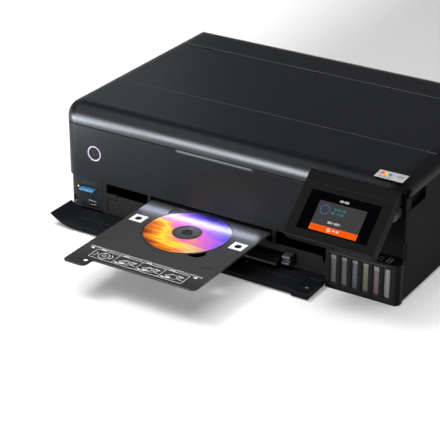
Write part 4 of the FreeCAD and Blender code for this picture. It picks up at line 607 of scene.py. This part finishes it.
# ---------------------------------------------------------------- touch screen
ON_PANEL = ("control_panel", "screen")
PAGE_X, PAGE_Z, BAR_Z = (160.0, 227.2), (83.8, 116.5), (75.2, 83.8)
UNDER, OVER = 0.03, 0.05      # tops of the page and of what is drawn on it
PAGE = lit("screen_grey", tone("#3b3b3b"))
BAR = lit("screen_orange", tone("#f45a00"))
WHITE_TEXT = lit("screen_white", tone("#f4f4f4"))
TEAL_TEXT = lit("screen_teal", tone("#2b8f9a"))
RING_BLUE = lit("screen_blue", tone("#5270b4"))
NAVY = lit("screen_navy", tone("#123450"))
marks("screen_page", [block(*PAGE_X, *PAGE_Z)], on_screen, PAGE, *ON_PANEL, high=UNDER)
marks("screen_bar", [block(*PAGE_X, *BAR_Z)], on_screen, BAR, *ON_PANEL, high=UNDER)
marks("screen_line", [block(*PAGE_X, BAR_Z[1], BAR_Z[1] + 0.9)], on_screen, NAVY, *ON_PANEL,
      0.0, OVER)
marks("screen_ring", [ring((171.5, 105.2), 6.3, 0.7, count=48)], on_screen, RING_BLUE, *ON_PANEL,
      0.0, OVER)
marks("screen_times", [numbers("10-25-30", 182.4, 107.2, 2.7, 0.42),
                       numbers("08-14-52", 181.4, 101.7, 2.7, 0.42)],
      on_screen, TEAL_TEXT, *ON_PANEL, 0.0, OVER)
marks("screen_counts", [numbers("120-350", 185.6, 119.9, 2.4, 0.42),
                        numbers("0001-0001", 182.2, 88.5, 2.4, 0.4),
                        ring((187.1, 79.6), 2.2, 0.8, count=24), block(186.6, 187.6, 79.0, 80.2),
                        numbers("24-60", 192.6, 78.9, 2.3, 0.38)],
      on_screen, WHITE_TEXT, *ON_PANEL, 0.0, OVER)

# ---------------------------------------------------------------- label on the lid
ON_LABEL = ("lid", "pale_grey", 0.0, 0.09)
LABEL = np.array([[[213.5, 10.0], [254.0, 9.6], [252.6, 32.5], [212.2, 32.0]]])
PATCH = 5.0                   # side of a coloured patch
PATCHES = (((216.6, 22.5), "#e8007c"), ((221.8, 22.5), "#ffd800"), ((221.8, 17.5), "#ff9a1e"),
           ((227.0, 22.5), "#1e96e6"))
marks("lid_label", [LABEL], on_lid, SILVER, "lid", "pale_grey", high=0.05)
for i, ((x, y), code) in enumerate(PATCHES, 1):
    marks("label_patch_%d" % i, [block(x, x + PATCH, y, y + PATCH)], on_lid,
          printed("label_ink_%d" % i, tone(code), 0.4), *ON_LABEL)
marks("label_numbers", [numbers("6-120", 230.0, 20.5, 5.0, 0.8),
                        numbers("0-10-20", 219.0, 13.0, 3.0, 0.4)],
      on_lid, printed("label_grey", tone("#5c5c5e")), *ON_LABEL)

# ---------------------------------------------------------------- icons, ticks, small hardware
# signs above the card slot: a ring with a bar, a card with a cut corner and a square
icons = [ring((-242.0, 49.0), 2.3, 0.45, count=24), stroke([(-242.0, 47.4), (-242.0, 50.6)], 0.45),
         stroke([(-236.5, 47.2), (-236.5, 50.4), (-233.4, 50.4), (-232.4, 49.4), (-232.4, 47.2),
                 (-236.5, 47.2)], 0.4),
         stroke([(-229.6, 47.2), (-226.2, 47.2), (-226.2, 50.4), (-229.6, 50.4),
                 (-229.6, 47.2)], 0.4)]
marks("card_icons", icons, on_front(BEZEL_FACE), DARK_INK, "printer", "inner_black")
symbol = [ring((-217.0, 101.3), 2.2, 0.4, 125, 290, 24),
          stroke([(-217.0, 101.6), (-217.0, 104.0)], 0.4)]
marks("power_symbol", symbol, on_front(BUTTON_FACE), DARK_INK, "power_button", "inner_black")

# tank column: pale level ticks moulded on the windows, outlined figures, and a painted highlight
# for the light caught along the edge above
TICK_HALF, TICK_LEVELS = (0.35, 0.3), (19.0, 25.5, 32.0, 38.5)
middles = [FIRST_WINDOW + k * WINDOW_PITCH for k in range(6)]
ticks = [block(x - TICK_HALF[0], x + TICK_HALF[0], z - TICK_HALF[1], z + TICK_HALF[1])
         for x in middles for z in TICK_LEVELS]
marks("tank_ticks", ticks, on_front(WINDOW_FACE), printed("tick_grey", tone("#e8e8e8")),
      "printer", "pale_grey", 0.0, 0.3)
marks("deck_figures", [numbers("0", 229.5, 1.5, 9.0, 0.8), numbers("8", 241.5, 0.5, 11.0, 0.8)],
      on_top(DECK_TOP), printed("outline_grey", tone("#c4c4c6")), "printer", "pale_grey")
# painted highlight: a pale line along the column's top edge stands in for the light that edge
# catches
marks("deck_edge_highlight", [block(163.5, 245.5, 53.7, 54.2)], on_front(COLUMN_FACE),
      printed("edge_highlight_grey", tone("#57585b")), "printer", "pale_grey")

# flap: a round mark, and the head of the screw in its block
marks("flap_mark", [ring((41.9, -14.1), 1.1, 2.1, count=20)], on_top(FLAP_TOP),
      printed("mark_grey", tone("#8b8f92")), "front_flap", "pale_grey")
SCREW_HEAD = [(0, 8.5), (1.9, 8.5), (2.0, 9.1), (1.5, 9.45), (0.7, 9.5), (0, 9.2)]
turned("flap_screw", SCREW_HEAD, (146.6, -34.6), printed("screw_grey", tone("#8d9194"), 0.35),
       "front_flap")

# ---------------------------------------------------------------- camera
# turned to the left about the upright axis, and dipped below the horizon, in degrees
CAMERA_PLACE, CAMERA_TURN, CAMERA_DIP, CAMERA_LENS = (1.0394, -1.757, 1.0299), 32.02, 26.41, 132.78
camera = bpy.data.objects.new("camera", bpy.data.cameras.new("camera"))
bpy.context.scene.collection.objects.link(camera)
camera.location = CAMERA_PLACE
camera.rotation_euler = (math.radians(90 - CAMERA_DIP), 0.0, math.radians(CAMERA_TURN))
camera.data.lens = CAMERA_LENS
camera.data.sensor_width = 36.0
camera.data.clip_end = 50.0
bpy.context.scene.camera = camera


# ---------------------------------------------------------------- light
def softbox(name, place, target, size, watts, colour=(1, 1, 1), card=True):
    """Rectangular lamp facing target: a card only shows in sheen, any other lamp only shades."""
    data = bpy.data.lights.new(name, "AREA")
    data.shape, data.size, data.size_y = "RECTANGLE", size[0], size[1]
    data.energy, data.color = watts, colour
    lamp = bpy.data.objects.new(name, data)
    lamp.location = place
    lamp.rotation_euler = (Vector(target) - Vector(place)).to_track_quat("-Z", "Y").to_euler()
    lamp.visible_camera, lamp.visible_glossy, lamp.visible_diffuse = False, card, not card
    bpy.context.scene.collection.objects.link(lamp)


softbox("overhead", (0.0, -0.4, 2.6), (0.0, -0.1, 0.0), (3.0, 3.0), 66.0, card=False)
softbox("key_left", (-1.1, -0.7, 2.2), (0.0, -0.15, 0.05), (0.8, 0.8), 28.0, card=False)
softbox("low_card", (-0.62, -1.56, 0.28), (-0.15, -0.09, 0.15), (0.86, 0.5), 72.0,
        (0.91, 0.965, 1.03))
softbox("front_card", (-0.6, -0.42, 0.06), (-0.25, -0.09, 0.1), (0.3, 0.1), 6.5,
        (0.88, 0.96, 1.08))
softbox("upper_card", (-0.9, -0.6, 1.4), (-0.1, -0.09, 0.15), (1.2, 1.2), 7.0, (0.9, 0.96, 1.04))
softbox("rear_card", (-1.5, 1.2, 0.85), (-0.1, 0.0, 0.17), (1.0, 0.9), 1.25, (0.86, 0.95, 1.06))
# looks straight down in the disc slot, for the streak on the tray there
softbox("slot_card", (-0.035, -0.096, 0.0605), (-0.035, -0.096, 0.0), (0.19, 0.013), 0.07,
        (0.86, 0.92, 1.15))

world = bpy.data.worlds.new("studio")
world.use_nodes = True
background = world.node_tree.nodes["Background"].inputs
background["Color"].default_value = (0.96, 0.98, 1.0, 1)
background["Strength"].default_value = 0.18
bpy.context.scene.world = world


# ---------------------------------------------------------------- floor
def studio_floor():
    """Pale floor, lifted to white for the rays that see it, with the shadows kept."""
    f = Finish("floor_white", Roughness=0.9, Specular_IOR_Level=0.0)
    x, y = f.axes()[:2]
    paper = f.noise(60.0, 3.0)
    white = f.ramp(paper, [(0.2, (0.79,) * 3), (0.8, (0.82,) * 3)])
    # painted shadow: a grey patch behind the object and to its right stands in for its soft shadow
    # there
    off, on = (0, 0, 0), (1, 1, 1)
    shadow_behind = f.ramp(y * 0.5, [(0.15, off), (0.25, on), (0.5, on), (0.75, off)], "EASE")
    shadow_aside = f.ramp(x + 0.5, [(0.0, off), (0.3, on)], "EASE")
    f.set(Base_Color=f.mix(shadow_behind * shadow_aside, white, (0.4, 0.4, 0.4)))
    # the lift grows between 1.5 m and 4 m from the middle
    reach = (x * x + y * y).math("SQRT") * 0.2
    lift = f.node("ShaderNodeEmission", {},
                  {"Color": f.ramp(reach, [(0.3, (0.24,) * 3), (0.8, (0.9,) * 3)]),
                   "Strength": 1.0})
    plain = Wire(f, f.shader.outputs[0])
    lifted = f.node("ShaderNodeAddShader", {}, [plain, lift])
    path = f.node("ShaderNodeLightPath").socket.node.outputs
    seen = (Wire(f, path["Is Camera Ray"]) + Wire(f, path["Is Glossy Ray"])
            + Wire(f, path["Is Transmission Ray"]))
    shown = f.node("ShaderNodeMixShader", {}, [seen, plain, lifted])
    f.tree.links.new(shown.socket, f.tree.nodes["Material Output"].inputs["Surface"])
    return f.material


FLOOR_HALF = 30
mesh = bpy.data.meshes.new("floor")
mesh.from_pydata([(-FLOOR_HALF, -FLOOR_HALF, 0), (FLOOR_HALF, -FLOOR_HALF, 0),
                  (FLOOR_HALF, FLOOR_HALF, 0), (-FLOOR_HALF, FLOOR_HALF, 0)], [], [(0, 1, 2, 3)])
mesh.materials.append(studio_floor())
floor = bpy.data.objects.new("floor", mesh)
bpy.context.scene.collection.objects.link(floor)
bpy.context.scene.view_settings.view_transform = "Standard"
